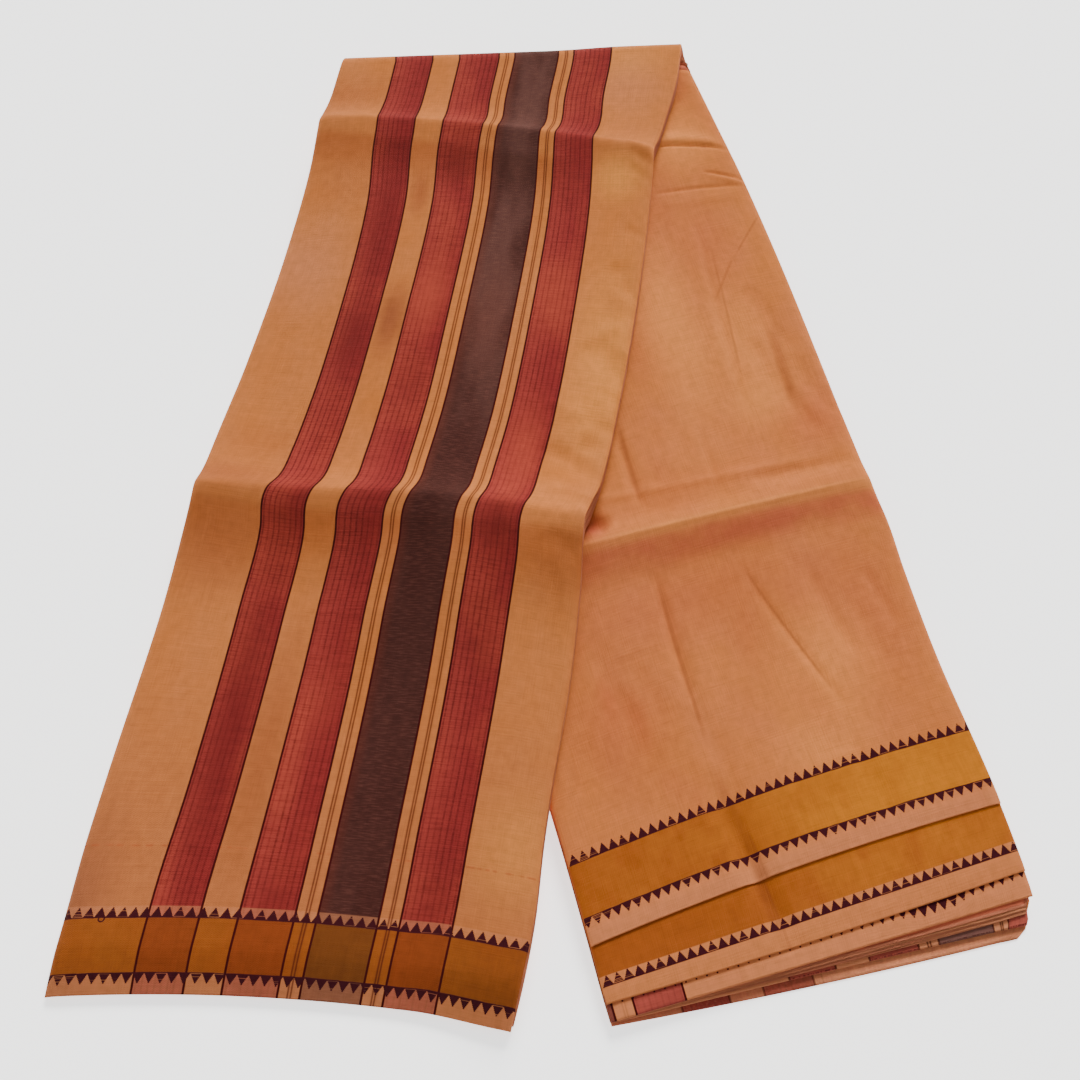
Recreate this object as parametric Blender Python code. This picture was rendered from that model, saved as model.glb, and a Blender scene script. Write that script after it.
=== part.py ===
"""A dhoti, folded for the shelf: one long handloom cloth, pleated lengthwise into a band of
sixteen layers, then folded once across its middle so that two legs fan out from the fold.

Metres, +Z up. The cloth lies on the plane z = 0, with its origin below the middle of its bounds.
The leg with the striped end (pallu) lies on top, the plain leg is under it, and the fold that
joins them is at +Y. The band is followed from the upper hem, round the fold, to the lower hem:
`across` runs from a leg's left edge to its right one and `along` from its hem to the fold.
"""

from typing import NamedTuple

import bpy
import numpy as np

# ---- driving sizes -------------------------------------------------------------------------
WALL = 0.0014  # a stretch of cloth that shows, with the air that a soft weave holds
GAP = 0.0003  # between two stretches that lie on each other
LAYER = WALL + GAP
LEG_STACK = 0.0095  # the hidden layers of one leg, pressed by their own weight
FOLD_AIR = 0.0005  # half of the space that is left inside the fold
FOLD_RADIUS = LAYER + LEG_STACK + FOLD_AIR  # the fold's outer round
FOLD_TILT = np.radians(12.4)  # between each leg and the square of the fold line

LOWER_TOP = LAYER + LEG_STACK  # the lower leg's upper face
UPPER_GAP = 2 * FOLD_AIR  # from there to the upper leg's underside
BRIDGING = 3.0  # it rides over the lower leg's ridge on a crest this much blunter
STACK_BLUNTNESS = 8.0  # and its upper face on one blunter still
STACK_REACH = 0.110  # over this length its upper face comes down beside the lower leg
DRAPE_START = 0.018  # how far past the lower leg's edge the upper leg still lies level
DRAPE_REACH = 0.028  # and over how far it comes down to the surface
FOLD_BLEND = 0.042  # each leg's upper face comes to the height of the fold over this length
FOLD_LEVEL = 0.004  # and lies level with it on the last of that length


class Leg(NamedTuple):
    """Where a leg's frame lies: the middle of its hem, and its heading from +X."""

    hem_x: float
    hem_y: float
    heading: float
    fold_along: float


UPPER = Leg(-0.1292, -0.3165, np.radians(80.4), 0.6320)
LOWER = Leg(0.1275, -0.2489, np.radians(105.1), 0.5753)


class Edge(NamedTuple):
    """The two side edges of a leg at one distance up from its hem."""

    along: float
    left: float
    right: float


UPPER_EDGES = [
    Edge(-0.012, -0.1147, 0.1110),
    Edge(0.010, -0.1148, 0.1117),
    Edge(0.030, -0.1154, 0.1131),
    Edge(0.060, -0.1166, 0.1141),
    Edge(0.100, -0.1168, 0.1121),
    Edge(0.200, -0.1156, 0.1110),
    Edge(0.245, -0.1158, 0.1082),
    Edge(0.275, -0.1150, 0.1053),
    Edge(0.310, -0.1158, 0.1095),
    Edge(0.370, -0.1124, 0.1114),
    Edge(0.450, -0.1082, 0.1114),
    Edge(0.520, -0.1078, 0.1089),
    Edge(0.545, -0.1090, 0.1074),
    Edge(0.564, -0.1094, 0.1058),
    Edge(0.580, -0.1084, 0.1076),
    Edge(0.600, -0.1080, 0.1094),
    Edge(0.636, -0.1079, 0.1119),
    Edge(0.660, -0.1079, 0.1110),
]

LOWER_EDGES = [
    Edge(-0.060, -0.1108, 0.1072),
    Edge(-0.040, -0.1112, 0.1094),
    Edge(0.000, -0.1108, 0.1116),
    Edge(0.086, -0.1114, 0.1118),
    Edge(0.150, -0.1130, 0.1145),
    Edge(0.181, -0.1130, 0.1162),
    Edge(0.204, -0.1130, 0.1148),
    Edge(0.240, -0.1130, 0.1166),
    Edge(0.310, -0.1130, 0.1187),
    Edge(0.430, -0.1130, 0.1202),
    Edge(0.500, -0.1120, 0.1181),
    Edge(0.580, -0.1110, 0.1150),
]


class Tuck(NamedTuple):
    """How far in the right corner of the lowest hems is tucked, at one distance up the leg."""

    along: float
    inward: float


CORNER_TUCK = [
    Tuck(-0.0600, 0.0165),
    Tuck(-0.0575, 0.0125),
    Tuck(-0.0540, 0.0072),
    Tuck(-0.0500, 0.0048),
    Tuck(-0.0430, 0.0040),
    Tuck(-0.0406, 0.0000),
]


class Ridge(NamedTuple):
    """A crease of the packing fold, standing up across a leg as a low tent."""

    along_left: float  # where its crest meets the left edge
    along_right: float  # and the right one
    bow: float  # how far the crest's middle stands off towards the fold
    left: float  # height at the left edge
    right: float  # height at the right edge
    front: float  # how fast it falls away towards the hem
    back: float  # how fast it falls away towards the fold
    blunt: float  # roundness of its crest


UPPER_RIDGES = [
    Ridge(0.274, 0.276, 0.0050, 0.0165, 0.0120, 0.030, 0.020, 0.004),
    Ridge(0.553, 0.559, 0.0060, 0.0075, 0.0095, 0.022, 0.010, 0.003),
]
LOWER_RIDGES = [Ridge(0.203, 0.207, -0.0010, 0.0130, 0.0075, 0.022, 0.022, 0.004)]


class Swell(NamedTuple):
    """A broad soft rise of a leg's upper face, centred in both directions."""

    along: float
    across: float
    height: float
    reach_along: float
    reach_across: float


UPPER_SWELLS = [
    Swell(0.120, -0.020, 0.0015, 0.050, 0.070),
    Swell(0.420, 0.020, 0.0015, 0.070, 0.060),
    Swell(0.490, -0.050, 0.0012, 0.040, 0.050),
]
LOWER_SWELLS = [
    Swell(0.095, 0.050, 0.0012, 0.050, 0.035),
    Swell(0.120, -0.040, 0.0015, 0.060, 0.035),
    Swell(0.340, 0.080, 0.0015, 0.060, 0.045),
    Swell(0.460, 0.090, 0.0012, 0.030, 0.035),
]

# The hem of each stretch: its distance up the leg at the left and the right edge, and how far
# its middle bows towards the fold
UPPER_HEM = (-0.0119, 0.0119)
UPPER_HEM_BOW = 0.0065  # how far the middle of the hem draws back
UPPER_HEM_DROOP = 0.0030  # how far its right corner hangs out
UPPER_HEM_DROOP_START = 0.28  # from this far out, as a share of the width
FOLD_STEP = 0.0026  # the fold lies this much further back towards its right end
FOLD_STEP_AT = (0.10, 0.34)  # where the step starts and ends, as shares of the width
UPPER_HEM_FADE = 0.270  # the slant and bow of the hem are gone this far up
UPPER_HEM_SHARE = 0.30  # the share of its height that the stack keeps at the very hem
UPPER_HEM_START = -0.0072  # it thickens to its full height from here
UPPER_HEM_FULL = 0.0240  # to here
HIDDEN_SETBACK = 0.0040  # the hidden layers end this far inside the upper hem

FACE_HEM = (-0.0084, 0.0084)
FACE_HEM_BOW = 0.0035
REVERSE_HEM = (-0.0370, -0.0277)
REVERSE_HEM_BOW = -0.0014
MARGIN_HEM = (-0.0456, -0.0404)
MARGIN_HEM_BOW = -0.0002
HIDDEN_HEM = (-0.0442, -0.0432)
HIDDEN_SPREAD = (0.0004, 0.0050)  # its lowest layer slips out this much past its highest
STRIPE_HEM = (-0.0451, -0.0527)
STRIPE_HEM_BOW = 0.0004
PALLU_HEM = (-0.0462, -0.0575)
PALLU_HEM_BOW = -0.0018
FAN_TOP = 0.045  # how far up the leg the stretches of the fan run in under the face stretch
FAN_CALM = 0.1125  # from here up, the leg's edges round off in full
FAN_SAG = 0.0008  # the pressed layers thin by this much out to the last hem
FACE_TOP = 0.004  # the face stretch starts this far below the fold
LEDGE = 0.0012  # a hidden ledge where a stretch starts

FOLD_EDGES = (-0.1079, 0.1110)  # where the fold line ends, across the upper leg
FOLD_ROUND = 0.0030  # the fold's left corner is drawn in by this much halfway round
FOLD_ROUND_START = 0.42  # from this far out, as a share of the width
TUCK_START = 0.38  # and the lowest hems' right corner from here
EDGE_ROUND = 0.0085  # the width over which a leg's upper face rounds off at its sides
EDGE_DROP = 0.0026
FAN_EDGE_SHARE = 0.25  # of that drop, where the fan's stretches lie on each other
LIP = 0.0016  # how far a fold of the hidden layers stands out between its neighbours
LIP_MIDDLE = 0.6  # the share of it that lies inside the stretches' own edge
LIPS = 4


# ---- helpers over whole grids --------------------------------------------------------------
def ease(value, start, end):
    """0 up to start, 1 from end on, and a smooth S between them."""
    share = np.clip((value - start) / (end - start), 0.0, 1.0)
    return share * share * (3.0 - 2.0 * share)


def through(value, rows, column):
    """A smooth curve through one column of a table of edges: a cubic between each two rows."""
    stations = np.array([row.along for row in rows])
    heights = np.array([getattr(row, column) for row in rows])
    slopes = np.gradient(heights, stations)
    value = np.clip(value, stations[0], stations[-1])
    i = np.clip(np.searchsorted(stations, value) - 1, 0, len(stations) - 2)
    run = stations[i + 1] - stations[i]
    t = (value - stations[i]) / run
    rise = (2 * t**3 - 3 * t**2 + 1) * heights[i] + (3 * t**2 - 2 * t**3) * heights[i + 1]
    return rise + run * ((t**3 - 2 * t**2 + t) * slopes[i] + (t**3 - t**2) * slopes[i + 1])


def between(pair, u):
    """A value given at the left and right edge, read at u from -0.5 to 0.5."""
    return pair[0] + (pair[1] - pair[0]) * (u + 0.5)


def place(leg, across, along):
    """A leg's own across and along, turned into world x and y."""
    x = leg.hem_x + across * np.sin(leg.heading) + along * np.cos(leg.heading)
    y = leg.hem_y - across * np.cos(leg.heading) + along * np.sin(leg.heading)
    return x, y


def measure(leg, x, y):
    """The other way: world x and y as a leg's across and along."""
    dx = x - leg.hem_x
    dy = y - leg.hem_y
    across = dx * np.sin(leg.heading) - dy * np.cos(leg.heading)
    along = dx * np.cos(leg.heading) + dy * np.sin(leg.heading)
    return across, along


def relief(across, along, width, ridges, swells, bluntness=1.0):
    """The rise of a leg's face: each ridge falls away by a fixed share for each length, on a
    rounded crest, and each swell is a bell in both directions."""
    u = np.clip(across / width, -0.5, 0.5)
    rise = np.zeros(np.broadcast(across, along).shape)
    for ridge in ridges:
        crest = between((ridge.along_left, ridge.along_right), u)
        far = along - crest - ridge.bow * (1.0 - 4.0 * u * u)
        run = np.where(far > 0, ridge.back, ridge.front)
        blunt = ridge.blunt * bluntness
        round_far = np.sqrt(far**2 + blunt**2) - blunt
        rise = rise + between((ridge.left, ridge.right), u) * np.exp(-round_far / run)
    for swell in swells:
        p = (along - swell.along) / swell.reach_along
        q = (across - swell.across) / swell.reach_across
        rise = rise + swell.height * np.exp(-p * p - q * q)
    return rise


# ---- the two legs --------------------------------------------------------------------------
def edge_rounding(across, left, right):
    """How far an upper face drops beside its edges: a quarter round, level further in."""
    inside = np.minimum(across - left, right - across)
    share = 1.0 - np.clip(inside / EDGE_ROUND, 0.0, 1.0)
    return EDGE_DROP * (1.0 - np.sqrt(np.maximum(1.0 - share**2, 0.0)))


def lower_face(across, along, bluntness=1.0):
    """Height of the lower leg's upper face, over the whole leg and level with its edge beyond."""
    left = through(along, LOWER_EDGES, "left")
    right = through(along, LOWER_EDGES, "right")
    face = LOWER_TOP + relief(
        across, along, right - left, LOWER_RIDGES, LOWER_SWELLS, bluntness
    )
    at_fold = LOWER.fold_along - np.tan(FOLD_TILT) * across
    face = face + (LOWER_TOP - face) * ease(along, at_fold - FOLD_BLEND, at_fold - FOLD_LEVEL)
    drop = FAN_EDGE_SHARE + (1.0 - FAN_EDGE_SHARE) * ease(along, FAN_TOP, FAN_CALM)
    return face - drop * edge_rounding(across, left, right)


def upper_plan(u, along):
    """x, y of a point of the upper leg, u from -0.5 at its left edge to 0.5 at its right one."""
    left = through(along, UPPER_EDGES, "left")
    right = through(along, UPPER_EDGES, "right")
    return place(UPPER, between((left, right), u), along)


def upper_along(u, v):
    """How far up the leg a crosswise thread lies: slanted and bowed at the hem, straight in the
    middle, and slanted along the fold line at the top."""
    fade = 1.0 - ease(v, 0.0, UPPER_HEM_FADE)
    hem = between(UPPER_HEM, u) + UPPER_HEM_BOW * (1.0 - 4.0 * u * u)
    hem = hem - UPPER_HEM_DROOP * ease(u, UPPER_HEM_DROOP_START, 0.5)
    slant = np.tan(FOLD_TILT) * between(FOLD_EDGES, u) + FOLD_STEP * ease(u, *FOLD_STEP_AT)
    return v + fade * hem + slant * ease(v, UPPER_HEM_FADE, UPPER.fold_along)


def lower_along(u, q):
    """The same for the lower leg, straight up to the fan and slanted the other way above it."""
    slant = -np.tan(FOLD_TILT) * between(FOLD_EDGES, u)
    return q + slant * ease(q, FAN_TOP, LOWER.fold_along)


def carried(x, y, bluntness, start, reach):
    """The height that carries the upper leg: the lower leg's face where that is below, and from
    start past its edge on an even fall to the surface, over reach."""
    across, along = measure(LOWER, x, y)
    left = through(along, LOWER_EDGES, "left")
    right = through(along, LOWER_EDGES, "right")
    held = np.clip(across, left + EDGE_ROUND, right - EDGE_ROUND)
    over = lower_face(held, along, bluntness) + UPPER_GAP
    return over * (1.0 - ease(left - across, start, start + reach))


def upper_underside(x, y):
    """The underside of the upper leg: close on what it lies on."""
    return carried(x, y, BRIDGING, DRAPE_START, DRAPE_REACH)


def upper_face(u, along, x, y):
    """Height of the upper leg's upper face: its stack, which bends less than its underside."""
    left = through(along, UPPER_EDGES, "left")
    right = through(along, UPPER_EDGES, "right")
    across = between((left, right), u)
    seat = carried(x, y, STACK_BLUNTNESS, 0.0, STACK_REACH)
    stack = LEG_STACK + LAYER
    stack = stack + relief(across, along, right - left, UPPER_RIDGES, UPPER_SWELLS)
    at_fold = UPPER.fold_along + np.tan(FOLD_TILT) * across
    face = seat + stack - edge_rounding(across, left, right)
    return face + (2 * FOLD_RADIUS - face) * ease(along, at_fold - FOLD_BLEND, at_fold)


# ---- stations: where the grids of the stretches have their rows -------------------------------
CROWDING = 6.0  # rows lie this much closer on a ridge than between the ridges
CROWD_REACH = 0.012
HALF_ACROSS = np.array([0.07, 0.16, 0.25, 0.34, 0.42, 0.47, 0.492, 0.5])
ACROSS = np.concatenate([-HALF_ACROSS[::-1], HALF_ACROSS])[:, None]
UPPER_BENDS = (0.0, 0.245, 0.277, 0.563)  # the hem, the carried ridge and the leg's own ridges
LOWER_BENDS = (0.204,)
UPPER_COUNT = 42
LOWER_COUNT = 24
FINE_COUNT = 2001


def crowded_rows(start, end, count, bends):
    """Rows from start to end, crowded where the cloth bends: evenly spaced along the running
    total of a density that peaks at each bend."""
    fine = np.linspace(start, end, FINE_COUNT)
    far = np.abs(fine[:, None] - np.array(bends)[None, :])
    density = 1.0 + CROWDING * np.exp(-far / CROWD_REACH).sum(axis=1)
    total = np.cumsum(density)
    return np.interp(np.linspace(total[0], total[-1], count), total, fine)


UPPER_ROWS = crowded_rows(0.0, UPPER.fold_along, UPPER_COUNT, UPPER_BENDS)
TURN_ROWS = np.linspace(0.0, np.pi, 9)[1:-1]
FACE_START = LOWER.fold_along - FACE_TOP
LOWER_ROWS = crowded_rows(FACE_START - LEDGE, FAN_TOP + LEDGE, LOWER_COUNT, LOWER_BENDS)
FLOOR_ROWS = np.linspace(FACE_START, FAN_TOP, 9)
FACE_HEM_ROWS = np.array([0.8, 0.5, 0.2, 0.0])  # shares of the way from a hem up to FAN_TOP
FAN_ROWS = np.array([0.0, 0.1, 0.25, 0.4, 0.55, 0.7, 0.85, 1.0])
STRIPE_ROWS = np.array([0.0, 0.1, 0.4, 0.7, 1.0])
HIDDEN_ROWS = np.array([1.0, 0.7, 0.4, 0.1, 0.0])
PALLU_ROWS = np.array([0.66, 0.33, 0.12, 0.05, 0.0])


# ---- the legs' surfaces ----------------------------------------------------------------------
def upper_surface(u, v):
    """x, y, upper face and underside of the upper leg, droop of its hem included."""
    along = upper_along(u, v)
    x, y = upper_plan(u, along)
    underside = upper_underside(x, y)
    full = ease(v, UPPER_HEM_START, UPPER_HEM_FULL)
    keep = UPPER_HEM_SHARE + (1.0 - UPPER_HEM_SHARE) * full
    face = underside + (upper_face(u, along, x, y) - underside) * keep
    return x, y, face, underside


def lower_plan(u, along):
    """x, y of a point of the lower leg, with the right corner of its lowest hems tucked in."""
    left = through(along, LOWER_EDGES, "left")
    right = through(along, LOWER_EDGES, "right")
    inward = np.interp(along, [row.along for row in CORNER_TUCK], [row.inward for row in CORNER_TUCK])
    across = between((left, right), u) - inward * ease(u, TUCK_START, 0.5)
    return place(LOWER, across, along)


def fold_line(u):
    """x and y of the fold's axis, from its left end to its right one."""
    return upper_plan(u, upper_along(u, UPPER.fold_along))


def lower_surface(u, along):
    """x, y and upper face of the lower leg, the sag of its fan included."""
    x, y = lower_plan(u, along)
    left = through(along, LOWER_EDGES, "left")
    right = through(along, LOWER_EDGES, "right")
    across = between((left, right), u)
    sag = FAN_SAG * (1.0 - ease(along, MARGIN_HEM[0], FAN_TOP))
    return x, y, lower_face(across, along) - sag


def fold_surface(u, turn, radius):
    """Points round the fold: a half round about its axis, level at both its ends, which shifts
    evenly on its way down to where the lower leg starts. Its left corner is drawn in."""
    x, y = fold_line(u)
    start_x, start_y = lower_plan(u, lower_along(u, LOWER.fold_along))
    square = UPPER.heading + FOLD_TILT
    inward = FOLD_ROUND * np.sin(turn) * ease(-u, FOLD_ROUND_START, 0.5)
    x = x + (start_x - x) * turn / np.pi + inward * np.sin(square)
    y = y + (start_y - y) * turn / np.pi - inward * np.cos(square)
    x = x + np.cos(square) * radius * np.sin(turn)
    y = y + np.sin(square) * radius * np.sin(turn)
    return x, y, FOLD_RADIUS + radius * np.cos(turn)


def fan_along(u, hem, rows, bow):
    """Rows of a stretch of the fan: straight at its hidden start, slanted as its hem at 0."""
    return FAN_TOP * rows + (between(hem, u) + bow * (1.0 - 4.0 * u * u)) * (1.0 - rows)


# ---- the solids ------------------------------------------------------------------------------
def stack(*grids):
    """Grids of x, y and z, one for each level, as one array: across, along, level, xyz."""
    levels = [np.stack(np.broadcast_arrays(*grid), axis=-1) for grid in grids]
    return np.stack(levels, axis=2)


def closed_block(name, points, material):
    """A closed mesh over the six sides of a bent block of points, its faces pointing out. The
    upper and under side are split along the same diagonals, so neighbours nest."""
    counts = points.shape[:3]
    index = np.arange(counts[0] * counts[1] * counts[2]).reshape(counts)
    sides = [
        index[:, :, -1],
        index[:, ::-1, 0],
        index[0, ::-1, :],
        index[-1, :, :],
        index[:, 0, :],
        index[::-1, -1, :],
    ]
    triangles = []
    for number, side in enumerate(sides):
        corners = (side[:-1, :-1], side[1:, :-1], side[1:, 1:], side[:-1, 1:])
        splits = ((0, 1, 3), (1, 2, 3)) if number == 1 else ((0, 1, 2), (0, 2, 3))
        for split in splits:
            triangles.append(np.stack([corners[k].ravel() for k in split], axis=-1))
    used, faces = np.unique(np.concatenate(triangles), return_inverse=True)
    mesh = bpy.data.meshes.new(name)
    mesh.from_pydata(points.reshape(-1, 3)[used].tolist(), [], faces.reshape(-1, 3).tolist())
    mesh.update()
    mesh.shade_smooth()
    mesh.materials.append(material)
    piece = bpy.data.objects.new(name, mesh)
    bpy.context.scene.collection.objects.link(piece)
    return piece


def wall(name, x, y, top, material):
    """A stretch of cloth below a grid of its upper face."""
    return closed_block(name, stack((x, y, top - WALL), (x, y, top)), material)


def pallu_stretch(material):
    """The striped end: over the upper leg, round the fold and on along the surface."""
    x, y, face, _ = upper_surface(ACROSS, UPPER_ROWS)
    over = stack((x, y, face - WALL), (x, y, face))
    turn = stack(
        fold_surface(ACROSS, TURN_ROWS, FOLD_RADIUS - WALL),
        fold_surface(ACROSS, TURN_ROWS, FOLD_RADIUS),
    )
    x, y = lower_plan(ACROSS, lower_along(ACROSS, np.append(LOWER.fold_along, FLOOR_ROWS)))
    hem = fan_along(ACROSS, PALLU_HEM, PALLU_ROWS, PALLU_HEM_BOW)
    hem_x, hem_y = lower_plan(ACROSS, hem)
    x = np.concatenate([x, hem_x], axis=1)
    y = np.concatenate([y, hem_y], axis=1)
    under = stack((x, y, x * 0.0 + WALL), (x, y, x * 0.0))
    return closed_block("pallu_stretch", np.concatenate([over, turn, under], axis=1), material)


def lobes(level):
    """How far folded edges stand out at a level from 0 to 1: one low round for each fold."""
    return LIP * (np.abs(np.sin(np.pi * LIPS * level)) - LIP_MIDDLE)


def hidden_layers(material):
    """The layers that never show but at their edges, from the upper hem to the lower one."""
    levels = np.linspace(0.0, 1.0, 2 * LIPS + 1)
    rows = UPPER_ROWS.copy()
    rows[0] = HIDDEN_SETBACK
    x, y, face, underside = upper_surface(ACROSS, rows)
    face = face - WALL - GAP
    over = stack(*[(x, y, underside + (face - underside) * level) for level in levels])
    radii = FOLD_AIR + (FOLD_RADIUS - LAYER - FOLD_AIR) * levels
    turn = stack(*[fold_surface(ACROSS, TURN_ROWS, radius) for radius in radii])

    along = lower_along(ACROSS, LOWER_ROWS)
    start = lower_along(ACROSS, LOWER.fold_along + np.array([0.0, -FACE_TOP]))
    fan = fan_along(ACROSS, HIDDEN_HEM, HIDDEN_ROWS, MARGIN_HEM_BOW)
    along = np.concatenate([start, along, fan], axis=1)
    x, y, face = lower_surface(ACROSS, along)
    covers = np.ones(along.shape[1])  # stretches that lie on the hidden layers
    covers[: start.shape[1]] = 0.0
    covers[-fan.shape[1] :] = 3.0
    carriers = np.ones(along.shape[1])  # and those that they lie on
    carriers[-fan.shape[1] :] = 2.0
    floor = carriers * LAYER
    face = face - covers * LAYER
    under = stack(*[(x, y, face + (floor - face) * level) for level in levels])

    points = np.concatenate([over, turn, under], axis=1)
    sideways = points[-1, :, :, :2] - points[0, :, :, :2]
    sideways = sideways / np.linalg.norm(sideways, axis=-1, keepdims=True)
    points[0, :, :, :2] -= sideways * lobes(levels)[None, :, None]
    points[-1, :, :, :2] += sideways * lobes(levels)[None, :, None]
    for row, inner in ((0, 1), (-1, -2)):
        outward = points[:, row, :, :2] - points[:, inner, :, :2]
        outward = outward / np.linalg.norm(outward, axis=-1, keepdims=True)
        points[:, row, :, :2] += outward * lobes(levels)[None, :, None]
        if row == -1:
            spread = between(HIDDEN_SPREAD, ACROSS) * (1.0 - levels)
            points[:, row, :, :2] += outward * spread[:, :, None]
    return closed_block("hidden_layers", points, material)


def upper_face_stretch(material):
    """The plain stretch on the lower leg, from inside the fold to its hem."""
    along = lower_along(ACROSS, LOWER_ROWS)
    hem = fan_along(ACROSS, FACE_HEM, FACE_HEM_ROWS, FACE_HEM_BOW)
    along = np.concatenate([along, hem], axis=1)[:, ::-1]
    return wall("upper_face_stretch", *lower_surface(ACROSS, along), material)


def fan_stretch(name, hem, bow, covers, material):
    """A stretch of the fan under the face stretch, with so many stretches on it."""
    along = fan_along(ACROSS, hem, FAN_ROWS, bow) - FAN_ROWS * 2.0 * LEDGE
    x, y, face = lower_surface(ACROSS, along)
    return wall(name, x, y, face - covers * LAYER, material)


def stripe_end_stretch(material):
    """The low stretch of the fan, level on the pallu's turned-under end."""
    along = fan_along(ACROSS, STRIPE_HEM, STRIPE_ROWS, STRIPE_HEM_BOW)
    along = along - STRIPE_ROWS * 2.0 * LEDGE
    x, y = lower_plan(ACROSS, along)
    return wall("stripe_end_stretch", x, y, x * 0.0 + 2.0 * LAYER - GAP, material)


def cloth_material(name, colour):
    """Soft cotton: a plain colour, dull all over."""
    material = bpy.data.materials.new(name)
    material.use_nodes = True
    shader = material.node_tree.nodes["Principled BSDF"]
    shader.inputs["Base Color"].default_value = (*colour, 1.0)
    shader.inputs["Roughness"].default_value = 0.85
    shader.inputs["Metallic"].default_value = 0.0
    return material


def main():
    for item in list(bpy.data.objects):
        bpy.data.objects.remove(item)
    pallu = cloth_material("pallu_cotton", (0.47, 0.10, 0.06))
    plain = cloth_material("plain_cotton", (0.60, 0.29, 0.12))
    edges = cloth_material("layer_edges", (0.52, 0.24, 0.11))
    pallu_stretch(pallu)
    hidden_layers(edges)
    upper_face_stretch(plain)
    fan_stretch("reverse_border_stretch", REVERSE_HEM, REVERSE_HEM_BOW, 1.0, plain)
    fan_stretch("margin_stretch", MARGIN_HEM, MARGIN_HEM_BOW, 2.0, plain)
    stripe_end_stretch(pallu)


main()
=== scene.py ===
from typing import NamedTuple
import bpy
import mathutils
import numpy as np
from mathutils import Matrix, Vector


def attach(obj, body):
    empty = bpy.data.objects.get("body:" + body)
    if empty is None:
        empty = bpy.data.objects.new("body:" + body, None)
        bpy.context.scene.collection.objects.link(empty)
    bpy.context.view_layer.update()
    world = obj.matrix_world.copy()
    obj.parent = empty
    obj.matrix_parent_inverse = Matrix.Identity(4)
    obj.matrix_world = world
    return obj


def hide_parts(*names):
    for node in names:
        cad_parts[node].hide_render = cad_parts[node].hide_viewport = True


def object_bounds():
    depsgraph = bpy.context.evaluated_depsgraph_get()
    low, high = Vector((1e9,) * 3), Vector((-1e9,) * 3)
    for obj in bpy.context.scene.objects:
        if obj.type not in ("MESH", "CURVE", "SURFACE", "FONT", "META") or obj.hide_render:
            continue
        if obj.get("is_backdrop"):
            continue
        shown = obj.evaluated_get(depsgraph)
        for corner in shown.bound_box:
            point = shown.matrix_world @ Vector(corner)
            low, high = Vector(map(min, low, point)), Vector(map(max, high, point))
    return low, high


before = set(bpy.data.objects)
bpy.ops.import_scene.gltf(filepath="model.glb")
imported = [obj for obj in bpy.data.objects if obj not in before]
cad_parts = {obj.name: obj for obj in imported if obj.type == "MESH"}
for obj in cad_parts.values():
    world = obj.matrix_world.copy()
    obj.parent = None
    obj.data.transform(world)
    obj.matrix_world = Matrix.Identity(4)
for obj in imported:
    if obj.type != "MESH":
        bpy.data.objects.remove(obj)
CAD_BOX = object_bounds()

# %% [markdown]
# # A dhoti, folded for the shelf
#
# A dhoti is one long handloom cotton cloth, with nothing cut or sewn on it. Here it is pleated
# lengthwise into a band of sixteen layers, then folded once across, so that two legs spread from
# the fold. The striped end (the pallu) lies on top, and at the foot of the plain leg the hems of
# several layers fan out.
#
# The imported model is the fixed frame, in metres with +Z up. Each cloth takes the place of one of
# its solids, and is worked out as whole numpy grids from the same sizes, because then it lies on
# its neighbour just as the solids do.

WALL, LAYER = 0.0014, 0.0017  # the room of one stretch with its air, and from one to the next
CLOTH = 0.0007  # the cotton's own thickness, where a hem shows it
LEG_STACK = 0.0095
FOLD_AIR = 0.0005
FOLD_RADIUS = LAYER + LEG_STACK + FOLD_AIR
FOLD_TILT = np.radians(12.4)
BAND = 0.228  # the pleated band's width, which is a sixteenth of the cloth's length


def ease(value, start, end):
    """0 up to start, 1 from end on, 3 t squared minus 2 t cubed of the share t between."""
    share = np.clip((value - start) / (end - start), 0, 1)
    return share * share * (3 - 2 * share)


def between(pair, u):
    """A value given at the left and right edge, read at u from -0.5 to 0.5 on a straight line."""
    return pair[0] + (pair[1] - pair[0]) * (u + 0.5)


def metres(*rows):
    """Rows given in millimetres, in metres."""
    return [tuple(size / 1000 for size in row) for row in rows]


def through(value, rows, column):
    """A smooth curve through one column of a table whose first column is the station: between two
    rows, the cubic with their heights and the table's own slopes at both."""
    stations = np.array([row[0] for row in rows])
    heights = np.array([row[column] for row in rows])
    slopes = np.gradient(heights, stations)
    value = np.clip(value, stations[0], stations[-1])
    i = np.clip(np.searchsorted(stations, value) - 1, 0, len(stations) - 2)
    run = stations[i + 1] - stations[i]
    t = (value - stations[i]) / run
    rise = (2 * t**3 - 3 * t**2 + 1) * heights[i] + (3 * t**2 - 2 * t**3) * heights[i + 1]
    return rise + run * ((t**3 - 2 * t**2 + t) * slopes[i] + (t**3 - t**2) * slopes[i + 1])


print(f"The fold is {2000 * FOLD_RADIUS:.1f} mm thick")

# %% [markdown]
# ## Where the two legs lie
#
# Each leg has a frame of its own: `across` runs from its left edge to its right one, and `along`
# from the middle of its hem towards the fold. A leg could be drawn straight in x and y, but in
# its own frame a crease is one number, and the side edges are a short table of how far they stand
# out.

# %% The legs' frames and side edges
class Leg(NamedTuple):
    hem_x: float
    hem_y: float
    heading: float
    fold_along: float


UPPER = Leg(-0.1292, -0.3165, np.radians(80.4), 0.632)
LOWER = Leg(0.1275, -0.2489, np.radians(105.1), 0.5753)

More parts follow.
